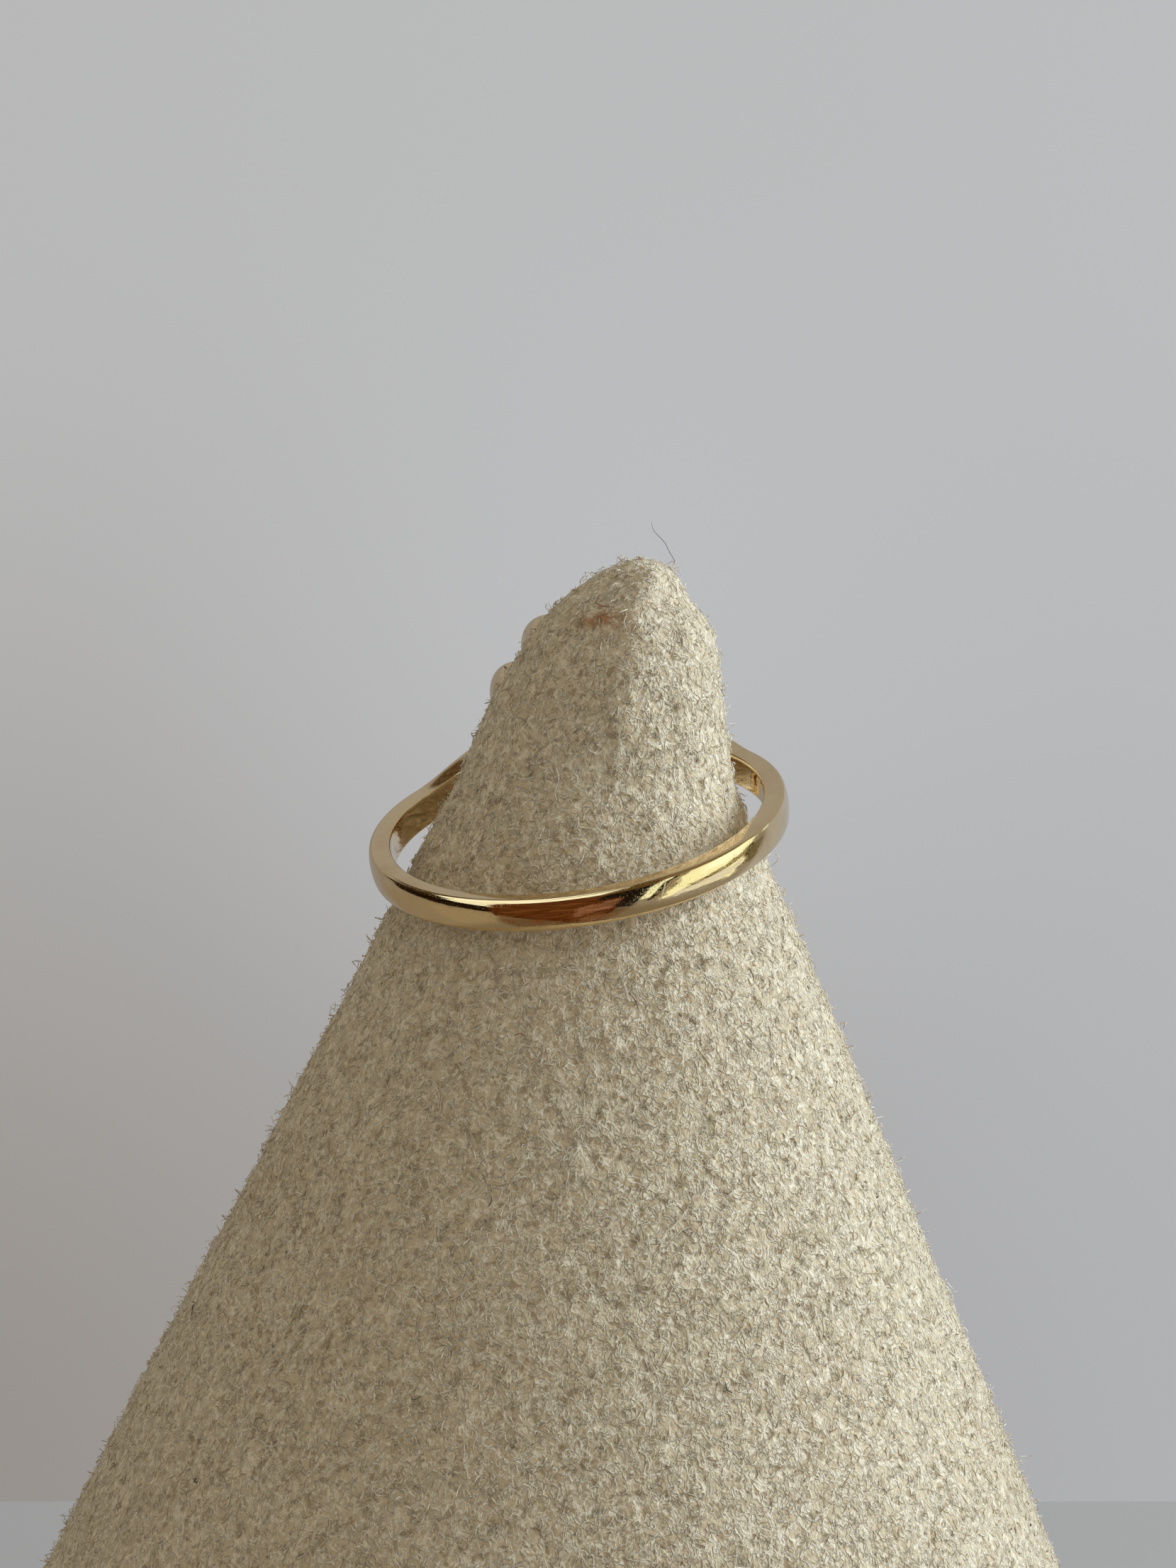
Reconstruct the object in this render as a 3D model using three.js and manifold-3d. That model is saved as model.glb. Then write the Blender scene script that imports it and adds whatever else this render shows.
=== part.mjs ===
// A gold cluster ring seated on a suede display cone.
// Millimetres, +Z up. The origin is the centre of the cone's flat base, and the ring's head is on the +Y side.

import * as THREE from 'three';
import { ConvexGeometry } from 'three/addons/geometries/ConvexGeometry.js';
import { mergeVertices } from 'three/addons/utils/BufferGeometryUtils.js';
import Module from 'manifold-3d';

// Display cone
const coneBaseRadius = 29.9;
const coneSideHeight = 63.4;          // from the base to the point where the straight sides would meet
const coneLean = 0.055;               // sideways drift of the axis for each millimetre of height
const coneEdgeRadius = 0.9;
const tipLength = 13.2;               // the rounded tip's share of the side height
const coneSegments = 56;

// Finger opening and shank
const fingerRadius = 8.5;
const shankWidth = 1.48;              // along the finger, at the back
const shankThickness = 0.93;
const shankSideFace = 0.5;            // flat part of the shank's side, at the back
const sideFaceAtShoulder = 0.75;
const shoulderThickness = 1.08;
const shoulderStart = 57;             // degrees from the middle of the head where the shank starts to widen
const innerEdgeBevel = 0.12;
const domeShare = 0.8;                // the dome's rise as a share of what stands above the flat side
const cornerShare = 0.6;              // the share of that rise that the rounded corner takes

// Arms that carry the head
const armSpread = 4.7;                // over both arms, along the finger
const armThickness = 1.8;
const armReach = 24;                  // degrees from the middle of the head where the arms are thickest
const windowLength = 12.6;
const windowWidth = 3.2;

// Cluster
const outerStoneCount = 10;
const clusterHalfWidth = 3.85;        // oval through the middles of the outer stones, across the finger
const clusterHalfLength = 5.35;       // and along it
const outerStoneRadius = 1.0;
const cupWall = 0.27;
const cupBaseRadius = 1.12;
const cupHole = 0.5;
const galleryRise = 1.05;             // from the finger opening to the cups' lower edge
const cupHeight = 2.4;
const railRadius = 0.42;
const railInset = 0.5;                // how far inside the cups' middles the rail runs
const centreStoneHalfWidth = 2.3;
const centreStoneHalfLength = 3.6;
const colletWall = 0.26;
const colletExtraHeight = 0.5;
const stoneClearance = 0.08;
const lipHeight = 0.3;                // metal above the widest line of a stone
const lipOverlap = 0.06;              // how far the lip reaches in over a stone's edge

// How the ring sits on the cone
const ringTiltForward = 16.8;         // degrees, the back of the shank lower than the head
const ringTiltSideways = 8.5;         // degrees, the -X side lower
const ringTurn = -3.5;                // degrees round the finger's axis, the head towards +X
const ringOffsetAcross = -0.66;       // from the cone's axis
const ringOffsetAway = -1.25;
const seatGap = 0.26;

const shankSteps = 108;
const cornerSteps = 3;
const crownSteps = 4;
const cupSegments = 16;
const colletSegments = 40;
const railSegments = 40;

const wasm = await Module();
wasm.setup();

// Columns: down is the share of the tip's length below the point where the sides would meet, radius and shift are
// shares of the cone's radius where the tip ends.
const tipSections = [
  { down: 0.249, radius: 0.14, shift: 0.245 },
  { down: 0.28, radius: 0.262, shift: 0.215 },
  { down: 0.33, radius: 0.37, shift: 0.17 },
  { down: 0.38, radius: 0.465, shift: 0.14 },
  { down: 0.44, radius: 0.58, shift: 0.14 },
  { down: 0.50, radius: 0.665, shift: 0.135 },
  { down: 0.606, radius: 0.755, shift: 0.098 },
  { down: 0.703, radius: 0.825, shift: 0.056 },
  { down: 0.83, radius: 0.90, shift: 0.03 },
  { down: 0.92, radius: 0.955, shift: 0.015 },
  { down: 1.0, radius: 1.0, shift: 0 },
];
const tipTop = { down: 0.235, shift: 0.24 };

const coneSlope = coneBaseRadius / coneSideHeight;
const tipEndRadius = coneSlope * tipLength;

function mix(from, to, share) {
  return from + (to - from) * share;
}

function smooth(low, high, value) {
  const share = THREE.MathUtils.clamp((value - low) / (high - low), 0, 1);
  return share * share * (3 - 2 * share);
}

// The cone's section at a depth below the meeting point of its sides.
function coneSection(depth) {
  const axis = coneLean * (coneSideHeight - depth);
  if (depth >= tipLength) {
    return { radius: coneSlope * depth, centre: axis };
  }
  const down = depth / tipLength;
  const rows = [{ down: tipTop.down, radius: 0, shift: tipTop.shift }, ...tipSections];
  if (down <= rows[0].down) {
    return { radius: 0, centre: axis + rows[0].shift * tipEndRadius };
  }
  const next = rows.findIndex((row) => row.down >= down);
  const [above, below] = [rows[next - 1], rows[next]];
  const share = (down - above.down) / (below.down - above.down);
  return {
    radius: mix(above.radius, below.radius, share) * tipEndRadius,
    centre: axis + mix(above.shift, below.shift, share) * tipEndRadius,
  };
}

// A closed body from rings of points: rings[i][j] is joined to its neighbours, and the rings either close on
// themselves or end in one point above and a flat fan below.
function ringsGeometry(rings, { closed = false, top = null, bottom = null } = {}) {
  const count = rings[0].length;
  const points = rings.flat();
  const faces = [];
  const pairs = closed ? rings.length : rings.length - 1;
  for (let i = 0; i < pairs; i += 1) {
    const next = (i + 1) % rings.length;
    for (let j = 0; j < count; j += 1) {
      const beside = (j + 1) % count;
      const [a, b] = [i * count + j, i * count + beside];
      const [c, d] = [next * count + j, next * count + beside];
      faces.push(a, c, b, b, c, d);
    }
  }
  if (top) {
    points.push(top);
    for (let j = 0; j < count; j += 1) {
      faces.push(points.length - 1, j, (j + 1) % count);
    }
  }
  if (bottom) {
    points.push(bottom);
    const first = (rings.length - 1) * count;
    for (let j = 0; j < count; j += 1) {
      faces.push(points.length - 1, first + ((j + 1) % count), first + j);
    }
  }
  const geometry = new THREE.BufferGeometry().setFromPoints(points);
  geometry.setIndex(faces);
  return facingOut(geometry);
}

// Turns every face of a closed body over when its volume comes out negative.
function facingOut(geometry) {
  const place = geometry.getAttribute('position');
  const faces = geometry.getIndex().array;
  const [a, b, c] = [new THREE.Vector3(), new THREE.Vector3(), new THREE.Vector3()];
  let volume = 0;
  for (let i = 0; i < faces.length; i += 3) {
    a.fromBufferAttribute(place, faces[i]);
    b.fromBufferAttribute(place, faces[i + 1]);
    c.fromBufferAttribute(place, faces[i + 2]);
    volume += a.dot(b.cross(c));
  }
  if (volume < 0) {
    const turned = Array.from(faces);
    for (let i = 0; i < turned.length; i += 3) {
      [turned[i + 1], turned[i + 2]] = [turned[i + 2], turned[i + 1]];
    }
    geometry.setIndex(turned);
  }
  return geometry;
}

function toSolid(source) {
  const bare = source.clone();
  bare.deleteAttribute('normal');
  bare.deleteAttribute('uv');
  const merged = mergeVertices(bare, 1e-4);
  return new wasm.Manifold(new wasm.Mesh({
    numProp: 3,
    vertProperties: new Float32Array(merged.getAttribute('position').array),
    triVerts: new Uint32Array(merged.getIndex().array),
  }));
}

function toGeometry(solid) {
  const mesh = solid.getMesh();
  const geometry = new THREE.BufferGeometry();
  geometry.setAttribute('position', new THREE.BufferAttribute(Float32Array.from(mesh.vertProperties), 3));
  geometry.setIndex(Array.from(mesh.triVerts));
  return geometry;
}

function displayCone() {
  const rings = [];
  const addRing = (depth, radius, centre) => {
    const ring = [];
    for (let j = 0; j < coneSegments; j += 1) {
      const turn = (2 * Math.PI * j) / coneSegments;
      const z = coneSideHeight - depth;
      ring.push(new THREE.Vector3(centre + radius * Math.cos(turn), radius * Math.sin(turn), z));
    }
    rings.push(ring);
  };
  for (const row of tipSections) {
    const { radius, centre } = coneSection(row.down * tipLength);
    addRing(row.down * tipLength, radius, centre);
  }
  const edgeDepth = coneSideHeight - coneEdgeRadius;
  const edge = coneSection(edgeDepth);
  addRing(edgeDepth, edge.radius, edge.centre);
  for (const turn of [30, 60, 90]) {
    const angle = THREE.MathUtils.degToRad(turn);
    const drop = coneEdgeRadius * Math.sin(angle);
    const inward = coneEdgeRadius * (1 - Math.cos(angle));
    addRing(edgeDepth + drop, edge.radius - inward, 0);
  }
  const peak = coneSection(tipTop.down * tipLength);
  const top = new THREE.Vector3(peak.centre, 0, coneSideHeight - tipTop.down * tipLength);
  return ringsGeometry(rings, { top, bottom: new THREE.Vector3(0, 0, 0) });
}

// The shank's half width, thickness and side face at an angle from the middle of the head.
function shankForm(fromHead) {
  const widening = 1 - smooth(0, shoulderStart, fromHead);
  const lifting = 1 - smooth(armReach, shoulderStart, fromHead);
  const thickness = mix(shankThickness, shoulderThickness, 1 - smooth(shoulderStart, 180, fromHead));
  const sideFace = mix(shankSideFace, sideFaceAtShoulder, 1 - smooth(shoulderStart, 180, fromHead));
  return {
    halfWidth: mix(shankWidth, armSpread, widening) / 2,
    thickness: mix(thickness, armThickness, lifting),
    sideFace: mix(sideFace, armThickness * 0.8, lifting),
  };
}

// One D section: bevelled inner edges, flat sides, rounded corners and a low dome between them.
function shankSection(fromHead) {
  const { halfWidth, thickness, sideFace } = shankForm(fromHead);
  const outline = [
    { along: -halfWidth + innerEdgeBevel, out: 0 },
    { along: halfWidth - innerEdgeBevel, out: 0 },
    { along: halfWidth, out: innerEdgeBevel },
  ];
  const rise = (thickness - sideFace) * domeShare;
  const corner = rise * cornerShare;
  const edge = halfWidth - corner;
  const rounded = [];
  for (let i = 0; i < cornerSteps; i += 1) {
    const turn = (Math.PI / 2) * (i / cornerSteps);
    rounded.push({ along: edge + corner * Math.cos(turn), out: thickness - rise + corner * Math.sin(turn) });
  }
  outline.push(...rounded);
  for (let i = 0; i <= crownSteps; i += 1) {
    const along = edge * (1 - (2 * i) / crownSteps);
    outline.push({ along, out: thickness - (rise - corner) * (along / halfWidth) ** 2 });
  }
  outline.push(...rounded.reverse().map(({ along, out }) => ({ along: -along, out })));
  outline.push({ along: -halfWidth, out: innerEdgeBevel });
  return outline;
}

function shank() {
  const rings = [];
  for (let i = 0; i < shankSteps; i += 1) {
    const turn = (2 * Math.PI * i) / shankSteps;
    const fromHead = Math.abs(THREE.MathUtils.radToDeg(Math.atan2(Math.sin(turn), Math.cos(turn))));
    rings.push(shankSection(fromHead).map(({ along, out }) => new THREE.Vector3(
      (fingerRadius + out) * Math.sin(turn),
      (fingerRadius + out) * Math.cos(turn),
      along,
    )));
  }
  return ringsGeometry(rings, { closed: true });
}

// The pointed window between the two arms, cut straight out through the head side of the shank.
function armWindow() {
  const lens = new THREE.Shape();
  lens.moveTo(-windowLength / 2, 0);
  lens.bezierCurveTo(
    -windowLength / 4, windowWidth * 2 / 3, windowLength / 4, windowWidth * 2 / 3, windowLength / 2, 0,
  );
  lens.bezierCurveTo(
    windowLength / 4, -windowWidth * 2 / 3, -windowLength / 4, -windowWidth * 2 / 3, -windowLength / 2, 0,
  );
  const depth = fingerRadius + 2 * armThickness;
  const geometry = new THREE.ExtrudeGeometry(lens, { depth, bevelEnabled: false, curveSegments: 16 });
  geometry.rotateX(-Math.PI / 2);
  return geometry;
}

// A closed profile turned round the head's axis. Half axes of more than 0 stretch it into an oval.
function turnedBody(profile, halfX, halfZ, segments) {
  const rings = [];
  for (let i = 0; i < segments; i += 1) {
    const turn = (2 * Math.PI * i) / segments;
    rings.push(profile.map(({ out, up }) => new THREE.Vector3(
      (halfX + out) * Math.cos(turn),
      up,
      (halfZ + out) * Math.sin(turn),
    )));
  }
  return ringsGeometry(rings, { closed: true });
}

// Wall of an open-backed setting. Sizes run from the stone's edge outward, and heights from the setting's base.
function settingProfile({ edge, base, hole, wall, height }) {
  const seat = height - lipHeight;
  const inner = edge + stoneClearance;
  return [
    { out: hole, up: 0 },
    { out: base, up: 0 },
    { out: mix(base, inner + wall, 0.75), up: seat * 0.55 },
    { out: inner + wall, up: seat },
    { out: inner + wall * 0.8, up: height - wall * 0.35 },
    { out: inner + wall * 0.35, up: height },
    { out: edge - lipOverlap, up: height - wall * 0.15 },
    { out: inner, up: seat + lipHeight * 0.4 },
    { out: inner, up: seat - lipHeight * 0.2 },
    { out: hole, up: seat * 0.45 },
  ];
}

const cupBase = fingerRadius + galleryRise;
const cupSeat = cupBase + cupHeight - lipHeight;
const colletHeight = cupHeight + colletExtraHeight;
const colletSeat = cupBase + colletHeight - lipHeight;

// Evenly spaced places round the cluster's oval, none at its two ends.
function outerPlaces() {
  const fine = 2000;
  const at = (turn) => new THREE.Vector2(clusterHalfWidth * Math.sin(turn), clusterHalfLength * Math.cos(turn));
  const lengths = [0];
  for (let i = 1; i <= fine; i += 1) {
    const step = at((2 * Math.PI * i) / fine).distanceTo(at((2 * Math.PI * (i - 1)) / fine));
    lengths.push(lengths[i - 1] + step);
  }
  const places = [];
  for (let k = 0; k < outerStoneCount; k += 1) {
    const wanted = ((k + 0.5) / outerStoneCount) * lengths[fine];
    const i = lengths.findIndex((length) => length >= wanted);
    places.push(at((2 * Math.PI * i) / fine));
  }
  return places;
}

function galleryRail() {
  const section = [];
  for (let i = 0; i < 8; i += 1) {
    const turn = (2 * Math.PI * i) / 8;
    section.push({ out: railRadius * Math.cos(turn), up: cupBase + railRadius * (0.5 + Math.sin(turn)) });
  }
  return turnedBody(section, clusterHalfWidth - railInset, clusterHalfLength - railInset, railSegments);
}

function ringMount() {
  let solid = toSolid(shank()).subtract(toSolid(armWindow()));
  solid = solid.add(toSolid(galleryRail()));
  const collet = settingProfile({
    edge: 0, base: -0.35, hole: -0.75, wall: colletWall, height: colletHeight,
  });
  const colletBody = turnedBody(collet, centreStoneHalfWidth, centreStoneHalfLength, colletSegments);
  solid = solid.add(toSolid(colletBody.translate(0, cupBase, 0)));
  const cup = settingProfile({
    edge: outerStoneRadius, base: cupBaseRadius, hole: cupHole, wall: cupWall, height: cupHeight,
  });
  for (const place of outerPlaces()) {
    const body = turnedBody(cup, 0, 0, cupSegments).translate(place.x, cupBase, place.y);
    solid = solid.add(toSolid(body));
  }
  return toGeometry(solid);
}

// A cut stone with a table, eight main facets above and below, and a thin girdle, widest line at height 0.
function cutStone(halfX, halfZ) {
  const size = Math.min(halfX, halfZ);
  const rows = [
    { share: 0.56, up: 0.34, count: 8, offset: 0.5 },
    { share: 0.80, up: 0.21, count: 8, offset: 0 },
    { share: 1.0, up: 0.03, count: 16, offset: 0 },
    { share: 1.0, up: -0.03, count: 16, offset: 0 },
    { share: 0.52, up: -0.42, count: 8, offset: 0.5 },
  ];
  const points = [new THREE.Vector3(0, -0.8 * size, 0)];
  for (const row of rows) {
    for (let i = 0; i < row.count; i += 1) {
      const turn = (2 * Math.PI * (i + row.offset)) / row.count;
      points.push(new THREE.Vector3(
        halfX * row.share * Math.cos(turn),
        size * row.up,
        halfZ * row.share * Math.sin(turn),
      ));
    }
  }
  return new ConvexGeometry(points);
}

const gold = new THREE.MeshStandardMaterial({ color: 0xd9b676, roughness: 0.18, metalness: 1.0 });
const garnet = new THREE.MeshStandardMaterial({ color: 0x5a0d12, roughness: 0.08, metalness: 0.0 });
const suede = new THREE.MeshStandardMaterial({ color: 0xd8cdb0, roughness: 1.0, metalness: 0.0 });

function piece(name, geometry, material) {
  const mesh = new THREE.Mesh(geometry, material);
  mesh.name = name;
  return mesh;
}

function clusterRing() {
  const ring = new THREE.Group();
  ring.add(piece('ring_mount', ringMount(), gold));
  const centre = cutStone(centreStoneHalfWidth, centreStoneHalfLength).translate(0, colletSeat, 0);
  ring.add(piece('centre_stone', centre, garnet));
  outerPlaces().forEach((place, index) => {
    const stone = cutStone(outerStoneRadius, outerStoneRadius).translate(place.x, cupSeat, place.y);
    ring.add(piece(`outer_stone_${index + 1}`, stone, garnet));
  });
  const forward = THREE.MathUtils.degToRad(ringTiltForward);
  const sideways = THREE.MathUtils.degToRad(-ringTiltSideways);
  ring.rotation.set(forward, sideways, THREE.MathUtils.degToRad(ringTurn));
  return ring;
}

// Places the ring's middle at a depth below the point where the cone's sides would meet.
function placeRing(ring, depth) {
  const axis = coneLean * (coneSideHeight - depth);
  ring.position.set(axis + ringOffsetAcross, ringOffsetAway, coneSideHeight - depth);
  ring.updateMatrixWorld(true);
}

// The least distance between the ring's corners and the cone's side.
function leastGap(ring, depth) {
  placeRing(ring, depth);
  const corners = ring.children[0].geometry.getAttribute('position');
  const across = Math.cos(Math.atan(coneSlope));
  const point = new THREE.Vector3();
  let least = Infinity;
  for (let i = 0; i < corners.count; i += 1) {
    point.fromBufferAttribute(corners, i).applyMatrix4(ring.matrixWorld);
    const { radius, centre } = coneSection(coneSideHeight - point.z);
    least = Math.min(least, (Math.hypot(point.x - centre, point.y) - radius) * across);
  }
  return least;
}

// Slides the ring down the cone until its nearest point is the seat gap away.
function seatRing(ring) {
  let [high, low] = [tipTop.down * tipLength, coneSideHeight];
  for (let i = 0; i < 40; i += 1) {
    const middle = (high + low) / 2;
    if (leastGap(ring, middle) > seatGap) {
      high = middle;
    } else {
      low = middle;
    }
  }
  placeRing(ring, high);
}

const object = new THREE.Group();
const ring = clusterRing();
seatRing(ring);
object.add(ring);
object.add(piece('display_cone', displayCone(), suede));

export default object;
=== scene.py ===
# %% [markdown]
# A gold cluster ring rests part of the way down a suede display cone. The solids come from the frame, and
# this lesson gives them their finish: polished gold with fine wear, dark red stones, and a felted nap of
# short curly fibres. Lengths are named in millimetres, as a jeweller measures them, and turned into metres
# only where a mesh or a material is made.

# %% Load the frame
import math

import bmesh
import bpy
import numpy as np
from mathutils import Matrix, Vector, noise


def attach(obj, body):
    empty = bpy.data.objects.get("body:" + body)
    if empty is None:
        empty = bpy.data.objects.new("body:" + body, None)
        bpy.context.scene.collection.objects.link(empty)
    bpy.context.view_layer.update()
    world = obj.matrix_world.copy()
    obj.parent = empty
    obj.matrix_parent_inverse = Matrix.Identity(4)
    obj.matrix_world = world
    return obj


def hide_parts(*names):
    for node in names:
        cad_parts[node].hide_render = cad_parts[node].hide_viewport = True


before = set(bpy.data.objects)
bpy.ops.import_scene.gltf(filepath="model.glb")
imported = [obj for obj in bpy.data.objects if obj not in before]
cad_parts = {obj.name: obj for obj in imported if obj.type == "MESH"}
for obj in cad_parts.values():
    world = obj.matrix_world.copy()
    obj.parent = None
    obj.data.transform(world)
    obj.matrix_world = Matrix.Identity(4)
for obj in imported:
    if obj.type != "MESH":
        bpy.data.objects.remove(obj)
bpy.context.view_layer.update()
MM = 0.001
print("frame holds", len(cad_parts), "nodes")

# %% [markdown]
# The ring is easiest to draw in its own frame: x across the finger, y from the finger's middle to the head,
# and z along the finger. It could be drawn where it lies, but then no size could be read off it. So one
# matrix tips the finished ring on the cone. The back of the band hangs lower than the head, and its left
# side lower than its right.

# %% Place of the ring on the cone
RING_MIDDLE = Vector((1.984, -1.25, 48.077))
TILT_FORWARD = 16.8
TILT_SIDEWAYS = 8.5
TURN = -3.5


def turned(degrees, axis):
    return Matrix.Rotation(math.radians(degrees), 4, axis)


ring_tilt = turned(TILT_FORWARD, "X") @ turned(-TILT_SIDEWAYS, "Y") @ turned(TURN, "Z")
ring_to_world = Matrix.Translation(RING_MIDDLE) @ ring_tilt
print("ring tipped", TILT_FORWARD, "degrees forward and", TILT_SIDEWAYS, "sideways")

# %% [markdown]
# Every mesh here is worked out as rows of points. Blender's curves or sculpting could make them too, but
# rows of numbers keep the real sizes in sight. These helpers turn the rows into meshes. Filling a mesh's
# own arrays at once is far quicker than adding one vertex after another, which matters for a nap of many
# fibres.

# %% Mesh helpers
def lattice_quads(rows, columns, close_rows):
    """Quads of a lattice that closes on itself across its columns, and along its rows too where asked."""
    row = np.arange(rows if close_rows else rows - 1)[:, None]
    column = np.arange(columns)[None, :]
    below = (row + 1) % rows
    beside = (column + 1) % columns
    corners = [
        row * columns + column, row * columns + beside, below * columns + beside, below * columns + column,
    ]
    return np.stack([np.broadcast_to(c, (row.size, columns)) for c in corners], axis=-1).reshape(-1, 4)


def make_mesh(name, points, faces):
    """A smooth shaded mesh object. Points are in millimetres, and all faces have as many corners."""
    mesh = bpy.data.meshes.new(name)
    mesh.vertices.add(len(points))
    mesh.vertices.foreach_set("co", (np.asarray(points, dtype=np.float64) * MM).ravel())
    mesh.loops.add(faces.size)
    mesh.loops.foreach_set("vertex_index", faces.astype(np.int32).ravel())
    mesh.polygons.add(len(faces))
    mesh.polygons.foreach_set("loop_start", np.arange(len(faces), dtype=np.int32) * faces.shape[1])
    mesh.update(calc_edges=True)
    mesh.shade_smooth()
    piece = bpy.data.objects.new(name, mesh)
    bpy.context.scene.collection.objects.link(piece)
    return piece


def face_outward(piece, close_ends=False):
    """Turns the faces of a mesh so that they all point out, with lids on its open ends first where asked."""
    shape = bmesh.new()
    shape.from_mesh(piece.data)
    if close_ends:
        bmesh.ops.holes_fill(shape, edges=[edge for edge in shape.edges if edge.is_boundary])
    bmesh.ops.recalc_face_normals(shape, faces=shape.faces)
    shape.to_mesh(piece.data)
    shape.free()


def count_triangles(piece):
    corners = sum(len(face.vertices) - 2 for face in piece.data.polygons)
    print(piece.name, corners, "triangles")


print("mesh helpers ready")

# %% [markdown]
# Materials are networks of nodes. They could be wired by hand in the editor, but a script that wires them
# can be read and changed in one place. In all these helpers a plain value goes straight on a socket, and a
# value that is a socket itself is linked to it.

# %% Node helpers
FLOAT, VECTOR = "NodeSocketFloat", "NodeSocketVector"


def plug(tree, sockets, inputs):
    """Puts plain values on named sockets and links the values that are sockets."""
    for key, value in inputs.items():
        if isinstance(value, bpy.types.NodeSocket):
            tree.links.new(value, sockets[key])
        else:
            sockets[key].default_value = value


def add_node(tree, kind, inputs=None, **settings):
    node = tree.nodes.new(kind)
    for key, value in settings.items():
        setattr(node, key, value)
    plug(tree, node.inputs, inputs or {})
    return node


def calculate(tree, operation, first, second=0.0, clamp=False):
    inputs = {0: first, 1: second}
    return add_node(tree, "ShaderNodeMath", inputs, operation=operation, use_clamp=clamp).outputs[0]


def times(tree, first, second):
    return calculate(tree, "MULTIPLY", first, second)


def distance_from(tree, value, middle):
    """How far a value is from a middle one, without its sign."""
    return calculate(tree, "ABSOLUTE", calculate(tree, "SUBTRACT", value, middle))


def ramp(tree, value, low, high, start=0.0, end=1.0):
    """A value eased from start to end while the input runs from low to high."""
    inputs = {"Value": value, "From Min": low, "From Max": high, "To Min": start, "To Max": end}
    return add_node(tree, "ShaderNodeMapRange", inputs, interpolation_type="SMOOTHSTEP").outputs["Result"]


def blend_colours(tree, share, first, second):
    """Sockets 6 and 7 of a Mix node are its two colours, and output 2 is the mixed one."""
    return add_node(tree, "ShaderNodeMix", {0: share, 6: first, 7: second}, data_type="RGBA").outputs[2]


def vector_sum(tree, operation, first, second):
    return add_node(tree, "ShaderNodeVectorMath", {0: first, 1: second}, operation=operation).outputs[0]


def bump(tree, height, depth, normal=None):
    """A normal tilted by a height from 0 to 1 that stands for a depth in millimetres."""
    inputs = {"Height": times(tree, height, depth * MM), "Distance": 1.0, "Strength": 1.0}
    if normal is not None:
        inputs["Normal"] = normal
    return add_node(tree, "ShaderNodeBump", inputs).outputs["Normal"]


def object_place(tree):
    return tree.nodes.new("ShaderNodeTexCoord").outputs["Object"]


print("node helpers ready")

# %% [markdown]
# Handled gold, leather and stone share some effects, such as mottling and scratches. Copying their nodes
# into each material would work, but a node group is made once, has named sockets, and takes other values
# wherever it is placed. The shader itself stays in the material.

# %% Group and material helpers
def new_group(name, inputs, outputs):
    """A shader node group with named sockets. Returns the group, its input sockets and its output node."""
    group = bpy.data.node_groups.new(name, "ShaderNodeTree")
    for socket, kind, value in inputs:
        made = group.interface.new_socket(socket, in_out="INPUT", socket_type=kind)
        if value is not None:
            made.default_value = value
    for socket, kind in outputs:
        group.interface.new_socket(socket, in_out="OUTPUT", socket_type=kind)
    given = group.nodes.new("NodeGroupInput").outputs
    return group, given, group.nodes.new("NodeGroupOutput")


def place_group(tree, group, **inputs):
    """Places a group in a material with its own values and returns the group's outputs."""
    named = {key.replace("_", " "): value for key, value in inputs.items()}
    return add_node(tree, "ShaderNodeGroup", named, node_tree=group).outputs


def new_material(name):
    """A material with a Principled BSDF. Returns the material, its tree and the shader's inputs."""
    material = bpy.data.materials.new(name)
    material.use_nodes = True
    tree = material.node_tree
    return material, tree, tree.nodes["Principled BSDF"].inputs


print("group helpers ready")

# %% [markdown]
# Nothing that is handled keeps one even colour. Soft mottling is a slow noise whose contrast is set where it
# is used: as tarnish on the gold, as dirt in the suede and as painted shade in its pits, and as colour zoning
# in the stones.
# Painted textures could do it too, but a noise needs no image and never shows a repeat.

# %% Shader group: soft mottling
mottling, given, result = new_group(
    "Soft mottling",
    [("Place", VECTOR, None), ("Patch size in mm", FLOAT, 3.0), ("Contrast", FLOAT, 0.5),
     ("Detail", FLOAT, 3.0)],
    [("Amount", FLOAT)],
)
per_metre = calculate(mottling, "DIVIDE", 1 / MM, given["Patch size in mm"])
cloud = add_node(mottling, "ShaderNodeTexNoise", {
    "Vector": given["Place"], "Scale": per_metre, "Detail": given["Detail"], "Roughness": 0.55,
}).outputs["Fac"]
spread = times(mottling, calculate(mottling, "SUBTRACT", cloud, 0.5), given["Contrast"])
plug(mottling, result.inputs, {"Amount": calculate(mottling, "ADD", spread, 0.5, clamp=True)})
print(mottling.name, "has", len(mottling.nodes), "nodes")

# %% [markdown]
# Rubbing against cloth and other metal leaves fine straight scratches. They could be drawn one by one, but
# a noise that is stretched along one direction gives streaks, and keeping only its peaks turns the streaks
# into separate hairlines. Three directions cross each other.

# %% Shader group: hairline scratches
HAIRLINE_TURNS = ((0.3, 0.1, 0.35), (0.2, 0.5, -0.5), (1.1, 0.2, 1.35))

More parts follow.
